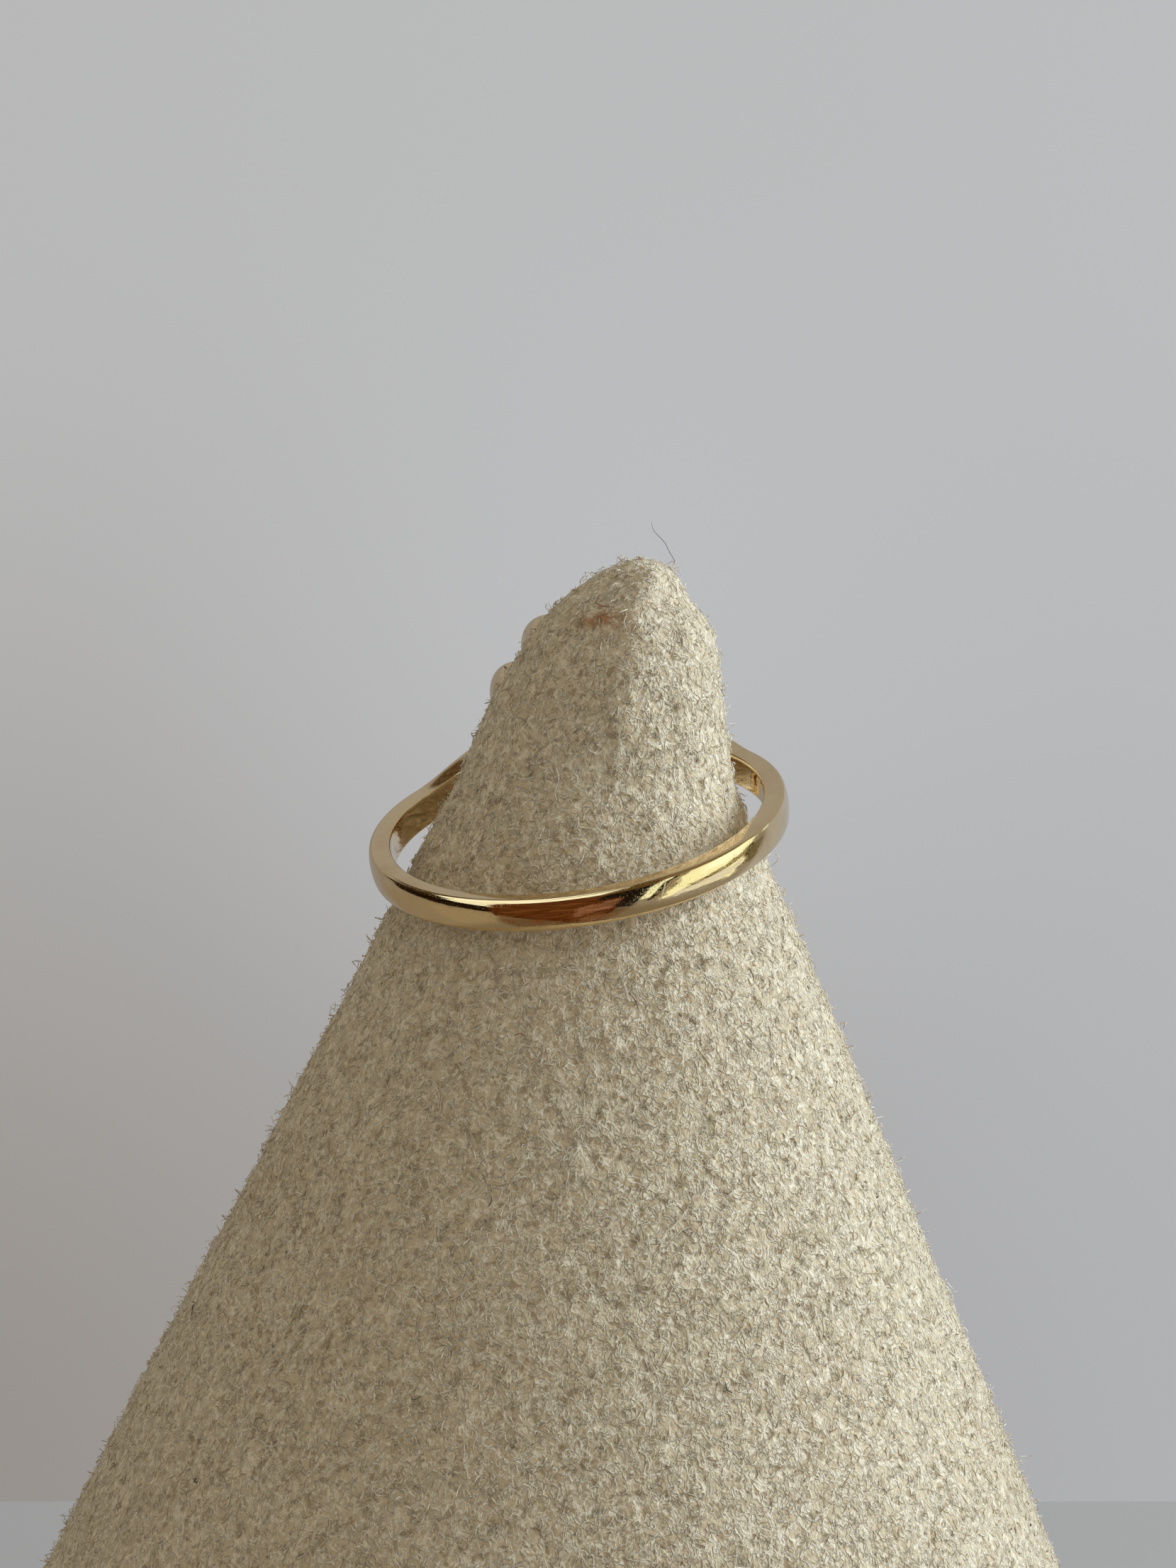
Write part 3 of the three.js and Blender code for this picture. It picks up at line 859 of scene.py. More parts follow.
camera_data = bpy.data.cameras.new("camera")
camera_data.sensor_width = SENSOR
camera_data.lens = FOCAL_PIXELS / PICTURE_SIZE[1] * SENSOR
camera_data.clip_start = 0.005
camera_data.clip_end = 20.0
camera = bpy.data.objects.new("camera", camera_data)
camera.location = CAMERA_AT * MM
camera.rotation_euler = (math.radians(90 - LOOKING_DOWN), 0, 0)
bpy.context.scene.collection.objects.link(camera)
bpy.context.scene.camera = camera
print("camera lens", round(camera_data.lens, 2), "mm")

# %% [markdown]
# A ray through a pixel meets the cone somewhere. It could be found with a formula for a plain cone, but
# this one has a bent tip, so the ray is walked in small strides until it comes inside the outline.

# %% From a pixel to the suede
WALK_FROM = 100.0
WALK_TO = 180.0
WALK_STRIDE = 0.02


def pixel_ray(x, y):
    """Direction through a pixel of the whole picture."""
    across = (x - PICTURE_SIZE[0] / 2) / FOCAL_PIXELS
    upward = (PICTURE_SIZE[1] / 2 - y) / FOCAL_PIXELS
    down = math.radians(LOOKING_DOWN)
    forward = np.array((0, math.cos(down), -math.sin(down)))
    up = np.array((0, math.sin(down), math.cos(down)))
    ray = forward + across * np.array((1, 0, 0)) + upward * up
    return ray / np.linalg.norm(ray)


def on_suede(x, y):
    """Distance down the side and bearing of the point of the cone that shows at a pixel."""
    ray = pixel_ray(x, y)
    radii, heights, centres = outline_rows[::-1].T
    for travel in np.arange(WALK_FROM, WALK_TO, WALK_STRIDE):
        at = CAMERA_AT + ray * travel
        centre = np.interp(at[2], heights, centres)
        if math.hypot(at[0] - centre, at[1]) <= np.interp(at[2], heights, radii, right=0.0):
            break
    down = np.interp(-at[2], -outline_rows[:, 1], walked_down)
    return down, math.degrees(math.atan2(at[1], at[0] - centre))


print("the picture is", *PICTURE_SIZE, "pixels")

# %% [markdown]
# A small brown red stain, old polish or rust, sits on the sloping face of the tip. It colours the skin and
# the fibres over it alike, so it is one group for both, and not a patch of its own. It is wider than it is
# high, and a noise eats at its rim so that it stays a stain and not a disc.

# %% Shader group: stain
STAIN_PIXEL = (848, 873)
STAIN_RADIUS = 1.75
STAIN_FLATTENING = (1.0, 1.0, 2.4)
SUEDE_STAIN = (0.43, 0.20, 0.075, 1)

stain_down, stain_bearing = on_suede(*STAIN_PIXEL)
stain_middle = suede_surface(np.array([stain_down]), np.array([stain_bearing]))[0][0]
stain, given, result = new_group(
    "Rust stain", [("Place", VECTOR, None), ("Radius in mm", FLOAT, STAIN_RADIUS)], [("Mask", FLOAT)],
)
from_middle = vector_sum(stain, "SUBTRACT", given["Place"], tuple(stain_middle * MM))
flattened = vector_sum(stain, "MULTIPLY", from_middle, STAIN_FLATTENING)
distance = add_node(stain, "ShaderNodeVectorMath", {0: flattened}, operation="LENGTH").outputs["Value"]
reach = calculate(stain, "DIVIDE", calculate(stain, "DIVIDE", distance, MM), given["Radius in mm"])
eaten = place_group(stain, mottling, Place=given["Place"], Patch_size_in_mm=0.55, Contrast=3.4, Detail=3.0)
worn = ramp(stain, eaten["Amount"], 0.15, 0.7, 0.15, 1.0)
plug(stain, result.inputs, {"Mask": times(stain, ramp(stain, reach, 0.2, 1.0, 1.0, 0.0), worn)})
print("stain at", [round(float(v), 2) for v in stain_middle])

# %% [markdown]
# Suede skin is the ground that the fibres grow from. Its colour has painted shade in the pits, darker and
# warmer there, and it is paler where fibres cross and soiled in patches. Three layers of curls drive both the
# colour and the bump. A photograph of suede wrapped round the cone would stretch at the tip, and a noise in
# space doesn't. The pile runs mostly up and down, so the place is squeezed along the height before the layers
# read it.

# %% Material: suede ground
# The pit colour below is painted shade: the darker, warmer tone that the pits of the suede are given.
SUEDE_PIT_SHADE = (0.34, 0.255, 0.15, 1)
SUEDE_GROUND = (0.66, 0.555, 0.375, 1)
SUEDE_FIBRE = (0.92, 0.85, 0.67, 1)
SUEDE_DIRT = (0.60, 0.48, 0.31, 1)
NAP_DEPTH = 0.11
PILE_SQUEEZE = (1.0, 1.0, 0.72)
# Each layer of curls: size, thickness, place in the noise, and share of the full height.
CURL_LAYERS = ((0.62, 0.040, 1.3, 0.7), (0.42, 0.050, 4.1, 0.85), (0.50, 0.036, 9.7, 1.0))


def pit_shade_and_dirt(tree, place):
    """Two mottlings that skin and fibres share, so that both are dark in the same places: the pits, which
    take painted shade, and dirt.
    """
    pits_and_shade = place_group(tree, mottling, Place=place, Patch_size_in_mm=0.42, Contrast=3.0, Detail=2.0)
    dirt = place_group(tree, mottling, Place=place, Patch_size_in_mm=6.0, Contrast=2.4, Detail=4.0)
    return pits_and_shade["Amount"], dirt["Amount"]


def stained(tree, place, colour, strength):
    mask = place_group(tree, stain, Place=place)["Mask"]
    return blend_colours(tree, times(tree, mask, strength), colour, SUEDE_STAIN)


suede, tree, shader = new_material("suede_ground")
place = object_place(tree)
squeezed = vector_sum(tree, "MULTIPLY", place, PILE_SQUEEZE)
height, mask = None, None
for size, thickness, layer, share in CURL_LAYERS:
    made = place_group(tree, curls, Place=squeezed, Curl_size_in_mm=size, Thickness=thickness, Layer=layer)
    raised = times(tree, made["Height"], share)
    height = raised if height is None else calculate(tree, "MAXIMUM", height, raised)
    mask = made["Mask"] if mask is None else calculate(tree, "MAXIMUM", mask, made["Mask"])
pits_and_shade, dirt = pit_shade_and_dirt(tree, place)
# The pits get painted shade: the ground colour darkens there.
ground = blend_colours(tree, ramp(tree, pits_and_shade, 0.08, 0.40, 0.7, 0.0), SUEDE_GROUND, SUEDE_PIT_SHADE)
soiled = blend_colours(tree, ramp(tree, dirt, 0.45, 1.0, 0.0, 0.45), ground, SUEDE_DIRT)
napped = blend_colours(tree, times(tree, mask, 0.75), soiled, SUEDE_FIBRE)
relief = calculate(tree, "ADD", times(tree, height, 0.75), times(tree, pits_and_shade, 0.6))
plug(tree, shader, {
    "Base Color": stained(tree, place, napped, 0.9),
    "Normal": bump(tree, relief, NAP_DEPTH),
    "Roughness": 0.95,
    "Specular IOR Level": 0.15,
    "Sheen Weight": 0.25,
    "Sheen Roughness": 0.45,
    "Sheen Tint": (1.0, 0.96, 0.88, 1),
})
print(suede.name, "has", len(tree.nodes), "nodes")

# %% [markdown]
# The skin could be the solid's own mesh with finer faces, but then its dents could not follow the tip. It
# is a new mesh in even steps down the side, with the same number of columns all the way. Its cells grow
# finer towards the tip, where the picture shows the most.

# %% Suede skin
SKIN_COLUMNS = 384
SKIN_ROWS = 222

skin_down = np.concatenate([[0.02], np.linspace(0.12, SIDE_LENGTH, SKIN_ROWS - 1)])
skin_bearing = np.linspace(-180, 180, SKIN_COLUMNS, endpoint=False)
grid_down, grid_bearing = np.meshgrid(skin_down, skin_bearing, indexing="ij")
skin_points = suede_surface(grid_down.ravel(), grid_bearing.ravel())[0]
skin = make_mesh("suede_skin", skin_points, lattice_quads(SKIN_ROWS, SKIN_COLUMNS, False))
face_outward(skin, close_ends=True)
skin.data.materials.append(suede)
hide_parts("display_cone")
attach(skin, "root")
count_triangles(skin)

# %% [markdown]
# No two fibres take the dye alike, so a tone is stored with each one, and the material reads it. Separate
# materials for pale and tan fibres would work too, but a stored tone gives every shade between them. Fibres
# that grow in a pit get the same painted shade as the skin under them.

# %% Material: suede fibres
FIBRE_PALE = (0.97, 0.91, 0.74, 1)
FIBRE_TAN = (0.60, 0.48, 0.30, 1)

fibre, tree, shader = new_material("suede_fibres")
place = object_place(tree)
tone = add_node(tree, "ShaderNodeAttribute", None, attribute_name="tone").outputs["Fac"]
pits_and_shade, dirt = pit_shade_and_dirt(tree, place)
dyed = blend_colours(tree, tone, FIBRE_TAN, FIBRE_PALE)
# Fibres that grow in a pit get painted shade.
shaded = blend_colours(tree, ramp(tree, pits_and_shade, 0.10, 0.50, 0.50, 0.0), dyed, SUEDE_PIT_SHADE)
soiled = blend_colours(tree, ramp(tree, dirt, 0.45, 1.0, 0.0, 0.4), shaded, SUEDE_DIRT)
plug(tree, shader, {
    "Base Color": stained(tree, place, soiled, 0.52),
    "Roughness": ramp(tree, tone, 0.0, 1.0, 0.75, 0.5),
    "Specular IOR Level": 0.3,
    "Sheen Weight": 0.2,
})
print(fibre.name, "has", len(tree.nodes), "nodes")

# %% [markdown]
# The nap is real geometry: tens of thousands of short fibres. Blender's hair could grow them, but hair
# isn't a mesh, and this part is kept as meshes. So each fibre is a thin spindle with a bend. It has a point
# at both ends and two rings of three points between them, which is twelve triangles, and all of them are
# worked out at once.

# %% Shape of a fibre
FIBRE_BEND = 1.0
LENGTH_VARIETY = 0.3
RADIUS_VARIETY = 0.22
ROOT_DEPTH = 0.03
RISE_ALONG = np.array((0.0, 0.75, 1.0, 1.25))
TUCKED_SHARE = 0.35
RISE_TUCKED = np.array((1, 1, 0.9, 0.2))


def spindle_triangles(count):
    """Two end fans and a wall of three quads for each spindle of eight points."""
    pattern = [(0, 2, 1), (0, 3, 2), (0, 1, 3), (7, 4, 5), (7, 5, 6), (7, 6, 4)]
    for a, b in ((1, 2), (2, 3), (3, 1)):
        pattern += [(a, b, b + 3), (a, b + 3, a + 3)]
    return (np.array(pattern)[None] + 8 * np.arange(count)[:, None, None]).reshape(-1, 3)


def spindle_paths(surface, random, length, lift, spread):
    """Four points along the middle of each fibre, which lies on the surface and bends one way."""
    base, outward, downward, around = surface
    count = len(base)
    heading = random.normal(0, spread, count) + np.where(random.random(count) < 0.5, 0, np.pi)
    bend = random.normal(0, FIBRE_BEND, count)
    third = (length * random.lognormal(0, LENGTH_VARIETY, count) / 3)[:, None]
    strides = []
    for share in (-1, 0, 1):
        turn = heading + bend * share
        strides.append((downward * np.cos(turn)[:, None] + around * np.sin(turn)[:, None]) * third)
    rise = random.random((count, 4)) * lift[:, None] * RISE_ALONG - ROOT_DEPTH
    tucked = random.random(count) < TUCKED_SHARE
    rise[tucked] = rise[tucked] * RISE_TUCKED
    path = [base - strides[1] * 0.5 - strides[0]]
    for stride in strides:
        path.append(path[-1] + stride)
    return [point + outward * rise[:, k:k + 1] for k, point in enumerate(path)]


def spindles(surface, random, length, radius, lift, spread):
    """Points of curly spindles, eight for each, and their triangles."""
    path = spindle_paths(surface, random, length, lift, spread)
    count = len(path[0])
    points = np.empty((count, 8, 3))
    points[:, 0], points[:, 7] = path[0], path[3]
    thick = (radius * random.lognormal(0, RADIUS_VARIETY, count))[:, None]
    for first, middle in ((1, 1), (4, 2)):
        forward = path[middle + 1] - path[middle - 1]
        forward /= np.linalg.norm(forward, axis=1, keepdims=True) + 1e-9
        side = np.cross(forward, surface[1])
        side /= np.linalg.norm(side, axis=1, keepdims=True) + 1e-9
        top = np.cross(side, forward)
        for corner, turn in enumerate(np.radians((90, 210, 330))):
            points[:, first + corner] = path[middle] + thick * (side * math.cos(turn) + top * math.sin(turn))
    return points.reshape(-1, 3), spindle_triangles(count)


print("a fibre has", len(spindle_triangles(1)), "triangles")

# %% [markdown]
# Fibres grow all over the suede, but they can't grow through the gold that rests on it. Cutting them off
# with a boolean would take minutes, so a fibre whose root is too near the band or the head is left out. Low
# down, where the stand is seldom looked at, they stand further apart.

# %% Where fibres grow
GOLD_MARGIN = 0.45
OUTLINE_SAMPLES = 600
LEAST_RADIUS = 0.4
FOOT_SHARE = 0.8
FOOT_DENSITY = 0.55

world_to_ring = np.array(ring_to_world.inverted())


def clear_of_gold(base, margin=GOLD_MARGIN):
    """True for the fibres that don't grow into the band or the head."""
    local = base @ world_to_ring[:3, :3].T + world_to_ring[:3, 3]
    outside = np.hypot(local[:, 0], local[:, 1]) > FINGER_RADIUS - margin
    beside = np.abs(local[:, 2]) < ARM_SPREAD / 2 + margin
    near_band = np.abs(local[:, 2]) < SHANK_WIDTH / 2 + margin * 0.5
    head_side = local[:, 1] > FINGER_RADIUS * 0.5
    return ~(outside & np.where(head_side, beside, near_band))


def scatter(random, count):
    """Places spread evenly over the suede, as distances down the side and bearings."""
    steps = np.linspace(0, SIDE_LENGTH, OUTLINE_SAMPLES)
    radius_at = np.maximum(np.interp(steps, walked_down, outline_rows[:, 0]), LEAST_RADIUS)
    density = radius_at * np.where(steps > SIDE_LENGTH * FOOT_SHARE, FOOT_DENSITY, 1.0)
    chance = np.concatenate([[0], np.cumsum(density)])[:-1]
    down = np.interp(random.random(count) * chance[-1], chance, steps)
    return down, random.random(count) * 360 - 180


print("fibres keep", GOLD_MARGIN, "mm off the gold")

# %% [markdown]
# Three layers make the pile: a low one that lies flat, a middle one, and a sparse upper one whose ends
# stand up and make the fuzzy outline. One thick layer would look like fur. Each layer draws from a random
# generator with its own seed, so the nap is the same every time.

# %% The pile
# Each layer: seed, count, length, radius, lift off the skin, and how far the fibres turn from upright.
PILE_LAYERS = {
    "nap_low": (11, 16000, 0.68, 0.028, 0.09, 1.3),
    "nap_middle": (12, 16000, 0.58, 0.026, 0.15, 1.3),
    "nap_upper": (13, 13000, 0.52, 0.023, 0.26, 1.5),
}
LIFT_VARIETY = 0.45
TONE_MIDDLE = 0.64
TONE_VARIETY = 0.32
LOWEST_FIBRE = 0.02


def nap_piece(name, seed, count, length, radius, lift_scale, spread):
    random = np.random.default_rng(seed)
    surface = suede_surface(*scatter(random, count))
    keep = clear_of_gold(surface[0])
    surface = [rows[keep] for rows in surface]
    grown = len(surface[0])
    lift = lift_scale * random.lognormal(0, LIFT_VARIETY, grown)
    points, triangles = spindles(surface, random, length, radius, lift, spread)
    points[:, 2] = np.maximum(points[:, 2], LOWEST_FIBRE)
    piece = make_mesh(name, points, triangles)
    tones = np.repeat(np.clip(random.normal(TONE_MIDDLE, TONE_VARIETY, grown), 0, 1), 8)
    piece.data.attributes.new("tone", "FLOAT", "POINT").data.foreach_set("value", tones)
    piece.data.materials.append(fibre)
    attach(piece, "root")
    count_triangles(piece)


for name, layer in PILE_LAYERS.items():
    nap_piece(name, *layer)

# %% [markdown]
# Here and there a longer fibre has pulled loose. Such a fibre is a thin tube along a few points. A curve
# with a bevel would do, but it would have to be turned into a mesh afterwards, and its ends would be blunt.
# This tube tapers at both ends.

# %% Tubes
TUBE_SIDES = 5
END_TAPER = 0.12


def tube(path, radius):
    """A closed tube that tapers at both ends, as points and triangles."""
    path = np.asarray(path, dtype=float)
    count = len(path)
    forward = np.gradient(path, axis=0)
    forward /= np.linalg.norm(forward, axis=1, keepdims=True) + 1e-9
    side = np.cross(forward, (0.31, 0.17, 0.93))
    side /= np.linalg.norm(side, axis=1, keepdims=True) + 1e-9
    top = np.cross(side, forward)
    taper = np.sin(np.linspace(END_TAPER, math.pi - END_TAPER, count)) ** 0.35 * radius
    turns = np.linspace(0, 2 * math.pi, TUBE_SIDES, endpoint=False)
    points = [
        path[i] + taper[i] * (side[i] * math.cos(turn) + top[i] * math.sin(turn))
        for i in range(count) for turn in turns
    ]
    quads = lattice_quads(count, TUBE_SIDES, False)
    first, last = len(points), len(points) + 1
    ring = np.arange(TUBE_SIDES)
    beside = (ring + 1) % TUBE_SIDES
    final = (count - 1) * TUBE_SIDES
    lids = [
        np.stack([np.full(TUBE_SIDES, first), beside, ring], axis=1),
        np.stack([np.full(TUBE_SIDES, last), final + ring, final + beside], axis=1),
    ]
    triangles = np.concatenate([quads[:, (0, 1, 2)], quads[:, (0, 2, 3)], *lids])
    return np.array(points + [path[0], path[-1]]), triangles


def smooth_path(points, steps):
    """A smooth run of points through a few chosen ones."""
    points = np.asarray(points, dtype=float)
    padded = np.vstack([2 * points[0] - points[1], points, 2 * points[-1] - points[-2]])
    made = []
    for i in range(1, len(padded) - 2):
        before, start, end, after = padded[i - 1:i + 3]
        for t in np.linspace(0, 1, steps, endpoint=False):
            slope = (end - before) * t
            sag = (2 * before - 5 * start + 4 * end - after) * t ** 2
            made.append(0.5 * (2 * start + slope + sag + (3 * start - before - 3 * end + after) * t ** 3))
    return np.array(made + [points[-1]])


def joined_tubes(name, tubes, material):
    points, triangles, start = [], [], 0
    for made_points, made_triangles in tubes:
        points.append(made_points)
        triangles.append(made_triangles + start)
        start += len(made_points)
    piece = make_mesh(name, np.vstack(points), np.vstack(triangles))
    piece.data.materials.append(material)
    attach(piece, "root")
    count_triangles(piece)


print("a tube has", TUBE_SIDES, "sides")

# %% [markdown]
# A few loose fibres lie where the picture shows them, and the rest are strewn over the whole cone so that
# every side looks handled. A strewn fibre wanders: its heading drifts a little at each step, as a thread's
# does.

# %% Paths of the loose fibres
WANDER_STEPS = 9
WANDER_START = 0.7
WANDER_TURN = 0.35
WANDER_MARGIN = 1.4
WANDER_RISE = 0.10
WANDER_WAVE = 0.05
WANDER_RADIUS = (0.018, 0.028)


def loose_path(pixels, rise):
    """A path over the suede through a few pixels, standing a little above it."""
    down, bearing = np.array([on_suede(*pixel) for pixel in pixels]).T
    points, outward, _, _ = suede_surface(down, bearing)
    return smooth_path(points + outward * rise, 5)


def wandering_path(random, down, bearing, length):
    """One fibre that starts at a place on the suede and wanders slowly over it."""
    heading = random.normal(0, WANDER_START) + np.cumsum(random.normal(0, WANDER_TURN, WANDER_STEPS))
    stride = length * random.lognormal(0, LENGTH_VARIETY) / WANDER_STEPS
    radius = max(np.interp(down, walked_down, outline_rows[:, 0]), 2.0)
    walk_down = np.clip(down + np.cumsum(np.cos(heading)) * stride, 0.5, SIDE_LENGTH - 1.0)
    walk_bearing = bearing + np.degrees(np.cumsum(np.sin(heading)) * stride / radius)
    points, outward, _, _ = suede_surface(walk_down, walk_bearing)
    waves = math.pi * random.uniform(1, 3)
    rise = WANDER_RISE + WANDER_WAVE * np.sin(np.linspace(0, waves, WANDER_STEPS))
    return points + outward * rise[:, None]


def wandering(random, count, length):
    """Long fibres strewn over the side, none of them near the gold."""
    tubes = []
    down, bearing = scatter(random, count)
    for k in np.flatnonzero(clear_of_gold(suede_surface(down, bearing)[0], WANDER_MARGIN)):
        path = wandering_path(random, down[k], bearing[k], length)
        tubes.append(tube(path, random.uniform(*WANDER_RADIUS)))
    return tubes


print("a strewn fibre has", WANDER_STEPS, "points")

# %% [markdown]
# Loose fibres are lint as much as suede: pale threads, dark specks of hair, and a few reddish ones. One
# function makes the three materials, because they differ in colour alone.

# %% Materials: loose fibres
def loose_material(name, light, dark):
    material, tree, shader = new_material(name)
    place = object_place(tree)
    tint = place_group(tree, mottling, Place=place, Patch_size_in_mm=0.9, Contrast=2.0, Detail=1.0)["Amount"]
    plug(tree, shader, {
        "Base Color": blend_colours(tree, tint, dark, light),
        "Roughness": ramp(tree, tint, 0.0, 1.0, 0.45, 0.65),
    })
    return material


pale_loose = loose_material("pale_fibre", (0.86, 0.82, 0.70, 1), (0.62, 0.53, 0.38, 1))
dark_loose = loose_material("dark_fibre", (0.11, 0.07, 0.05, 1), (0.03, 0.022, 0.02, 1))
red_loose = loose_material("reddish_fibre", (0.36, 0.15, 0.09, 1), (0.17, 0.07, 0.05, 1))
print("loose fibres have three colours")

# %% [markdown]
# The fibres that the picture shows are named by pixels. All fibres of one colour are joined in one mesh,
# because hundreds of separate objects would be slow to draw and hard to handle.

# %% Lay the loose fibres
PALE_PIXELS = (
    ((786, 1084), (790, 1100), (784, 1118), (787, 1132)),
    ((877, 1020), (872, 1042), (874, 1060)),
    ((650, 1118), (668, 1108), (688, 1104)),
    ((724, 1094), (742, 1101), (756, 1097)),
    ((846, 1208), (844, 1222), (846, 1234)),
    ((800, 1190), (814, 1186), (830, 1190)),
)
DARK_PIXELS = (
    ((771, 847), (778, 851), (784, 854)),
    ((711, 951), (712, 954), (713, 957)),
    ((731, 1208), (733, 1210), (735, 1211)),
    ((975, 1058), (979, 1062), (982, 1061)),
    ((905, 1238), (908, 1241), (911, 1240)),
)
RED_PIXELS = (
    ((886, 1402), (892, 1408), (897, 1415), (899, 1424)),
    ((725, 1461), (734, 1458), (743, 1463)),
    ((838, 848), (852, 856), (868, 858)),
)


def placed_tubes(paths, rise, radius):
    return [tube(loose_path(pixels, rise), radius) for pixels in paths]


random = np.random.default_rng(21)
pale_tubes = placed_tubes(PALE_PIXELS, rise=0.16, radius=0.027) + wandering(random, count=420, length=1.7)
dark_tubes = placed_tubes(DARK_PIXELS, rise=0.12, radius=0.024) + wandering(random, count=26, length=0.5)
joined_tubes("loose_pale_fibres", pale_tubes, pale_loose)
joined_tubes("loose_dark_fibres", dark_tubes, dark_loose)
joined_tubes("loose_red_fibres", placed_tubes(RED_PIXELS, rise=0.13, radius=0.024), red_loose)

# %% [markdown]
# The hair on the peak leaves the suede in a small dark hook and curls up to the left. It stands free of the
# cone, so a pixel alone doesn't say how deep it lies. Its points are taken at the depth of the peak.

# %% The hair on the peak
HAIR_PIXELS = (
    (940, 797), (948, 792), (953, 795), (950, 788), (944, 778), (938, 766), (930, 757), (922, 748),
    (919, 737),
)
HAIR_MIDDLE = (930, 780)
HAIR_RADIUS = 0.013

peak_distance = -CAMERA_AT[1] / pixel_ray(*HAIR_MIDDLE)[1]
hair = [CAMERA_AT + pixel_ray(*pixel) * peak_distance for pixel in HAIR_PIXELS]
joined_tubes("peak_hair", [tube(smooth_path(hair, 4), HAIR_RADIUS)], dark_loose)

# %% [markdown]
# The stand is shown on a pale floor. It is far larger than the picture needs, so that its edge never shows.
# Gold would mirror it as a flat grey sheet, so mirror rays pass it and meet the painted room instead.

# %% Floor
FLOOR_SIZE = 2400.0
FLOOR_GAP = 0.02
half = FLOOR_SIZE / 2

floor_material, tree, shader = new_material("pale_floor")
place = object_place(tree)
spots = place_group(tree, mottling, Place=place, Patch_size_in_mm=60.0, Contrast=1.2, Detail=3.0)["Amount"]
plug(tree, shader, {
    "Base Color": blend_colours(tree, spots, (0.425, 0.42, 0.41, 1), (0.445, 0.44, 0.43, 1)),
    "Roughness": 0.6,
})
floor_corners = np.array([(-half, -half, 0), (half, -half, 0), (half, half, 0), (-half, half, 0)])
floor = make_mesh("floor", floor_corners, np.array([[0, 1, 2, 3]]))
floor.location.z = -FLOOR_GAP * MM
floor.visible_glossy = False
floor.data.materials.append(floor_material)
print("floor is", FLOOR_SIZE / 1000, "m across")

# %% [markdown]
# A plain backdrop stands close behind the object. It is there for the camera alone: it neither shades nor
# lights the object, and it can't be seen from behind, so every side can be looked at. It glows by itself,
# which is simpler than lighting it, and its glow holds painted light and shade: painted shade makes it darker
# low on the left, and a painted pool of light makes it a little lighter behind the ring.

# %% Backdrop
BACKDROP_AT = 52.0
HALO_AT = (4.0, BACKDROP_AT, 53.0)
HALO_REACH = 36.0
HALO_SHARE = 0.6
# The low left colour is painted shade, and the halo colour is a painted pool of light.
BACKDROP_LOW_SHADED = ((0.305, 0.278, 0.255, 1), (0.44, 0.445, 0.46, 1))
BACKDROP_HIGH = ((0.48, 0.48, 0.48, 1), (0.50, 0.51, 0.515, 1))
BACKDROP_LIGHT_POOL = (0.525, 0.53, 0.54, 1)

backdrop_material = bpy.data.materials.new("plain_backdrop")
backdrop_material.use_nodes = True
tree = backdrop_material.node_tree
tree.nodes.remove(tree.nodes["Principled BSDF"])
place = object_place(tree)
axes = add_node(tree, "ShaderNodeSeparateXYZ", {0: place}).outputs
rightward = ramp(tree, axes["X"], -50 * MM, 50 * MM)
upward = ramp(tree, axes["Z"], 0.0, 81 * MM)
low_tone, high_tone = (blend_colours(tree, rightward, *pair) for pair in (BACKDROP_LOW_SHADED, BACKDROP_HIGH))
from_halo = add_node(tree, "ShaderNodeVectorMath", {0: place, 1: Vector(HALO_AT) * MM}, operation="DISTANCE")
# A painted pool of light makes the backdrop lighter round the place behind the ring.
painted_light_pool = ramp(tree, from_halo.outputs["Value"], 0.0, HALO_REACH * MM, HALO_SHARE, 0.0)
toned = blend_colours(tree, painted_light_pool, blend_colours(tree, upward, low_tone, high_tone), BACKDROP_LIGHT_POOL)
glow = add_node(tree, "ShaderNodeEmission", {"Color": toned}).outputs[0]
clear = tree.nodes.new("ShaderNodeBsdfTransparent").outputs[0]
behind = tree.nodes.new("ShaderNodeNewGeometry").outputs["Backfacing"]
one_sided = add_node(tree, "ShaderNodeMixShader", {0: behind, 1: glow, 2: clear}).outputs[0]
plug(tree, tree.nodes["Material Output"].inputs, {"Surface": one_sided})

backdrop_corners = [(x, BACKDROP_AT, z) for x, z in ((-half, 0), (half, 0), (half, half), (-half, half))]
backdrop = make_mesh("backdrop", np.array(backdrop_corners), np.array([[0, 1, 2, 3]]))
backdrop.data.materials.append(backdrop_material)
backdrop.visible_shadow = False
backdrop.visible_diffuse = False
backdrop.visible_glossy = False
backdrop.visible_transmission = False
print("backdrop stands", BACKDROP_AT, "mm behind the middle of the stand")

# %% [markdown]
# Polished gold shows its surroundings, so the room matters as much as the metal. A photographed panorama
# would serve, but here the room is painted by direction, as patches in the order in which the band meets
# them: a pale table, wood in front, a dark gap, a bright window on the right, and lamps above.

# %% Patches of the room
ROOM_SEEN = (0.55, 0.55, 0.55, 1)
ROOM_SHADE = (0.452, 0.368, 0.260, 1)
ROOM_OVERHEAD = (0.42, 0.395, 0.355, 1)
ROOM_MIRRORED = (0.29, 0.28, 0.275, 1)
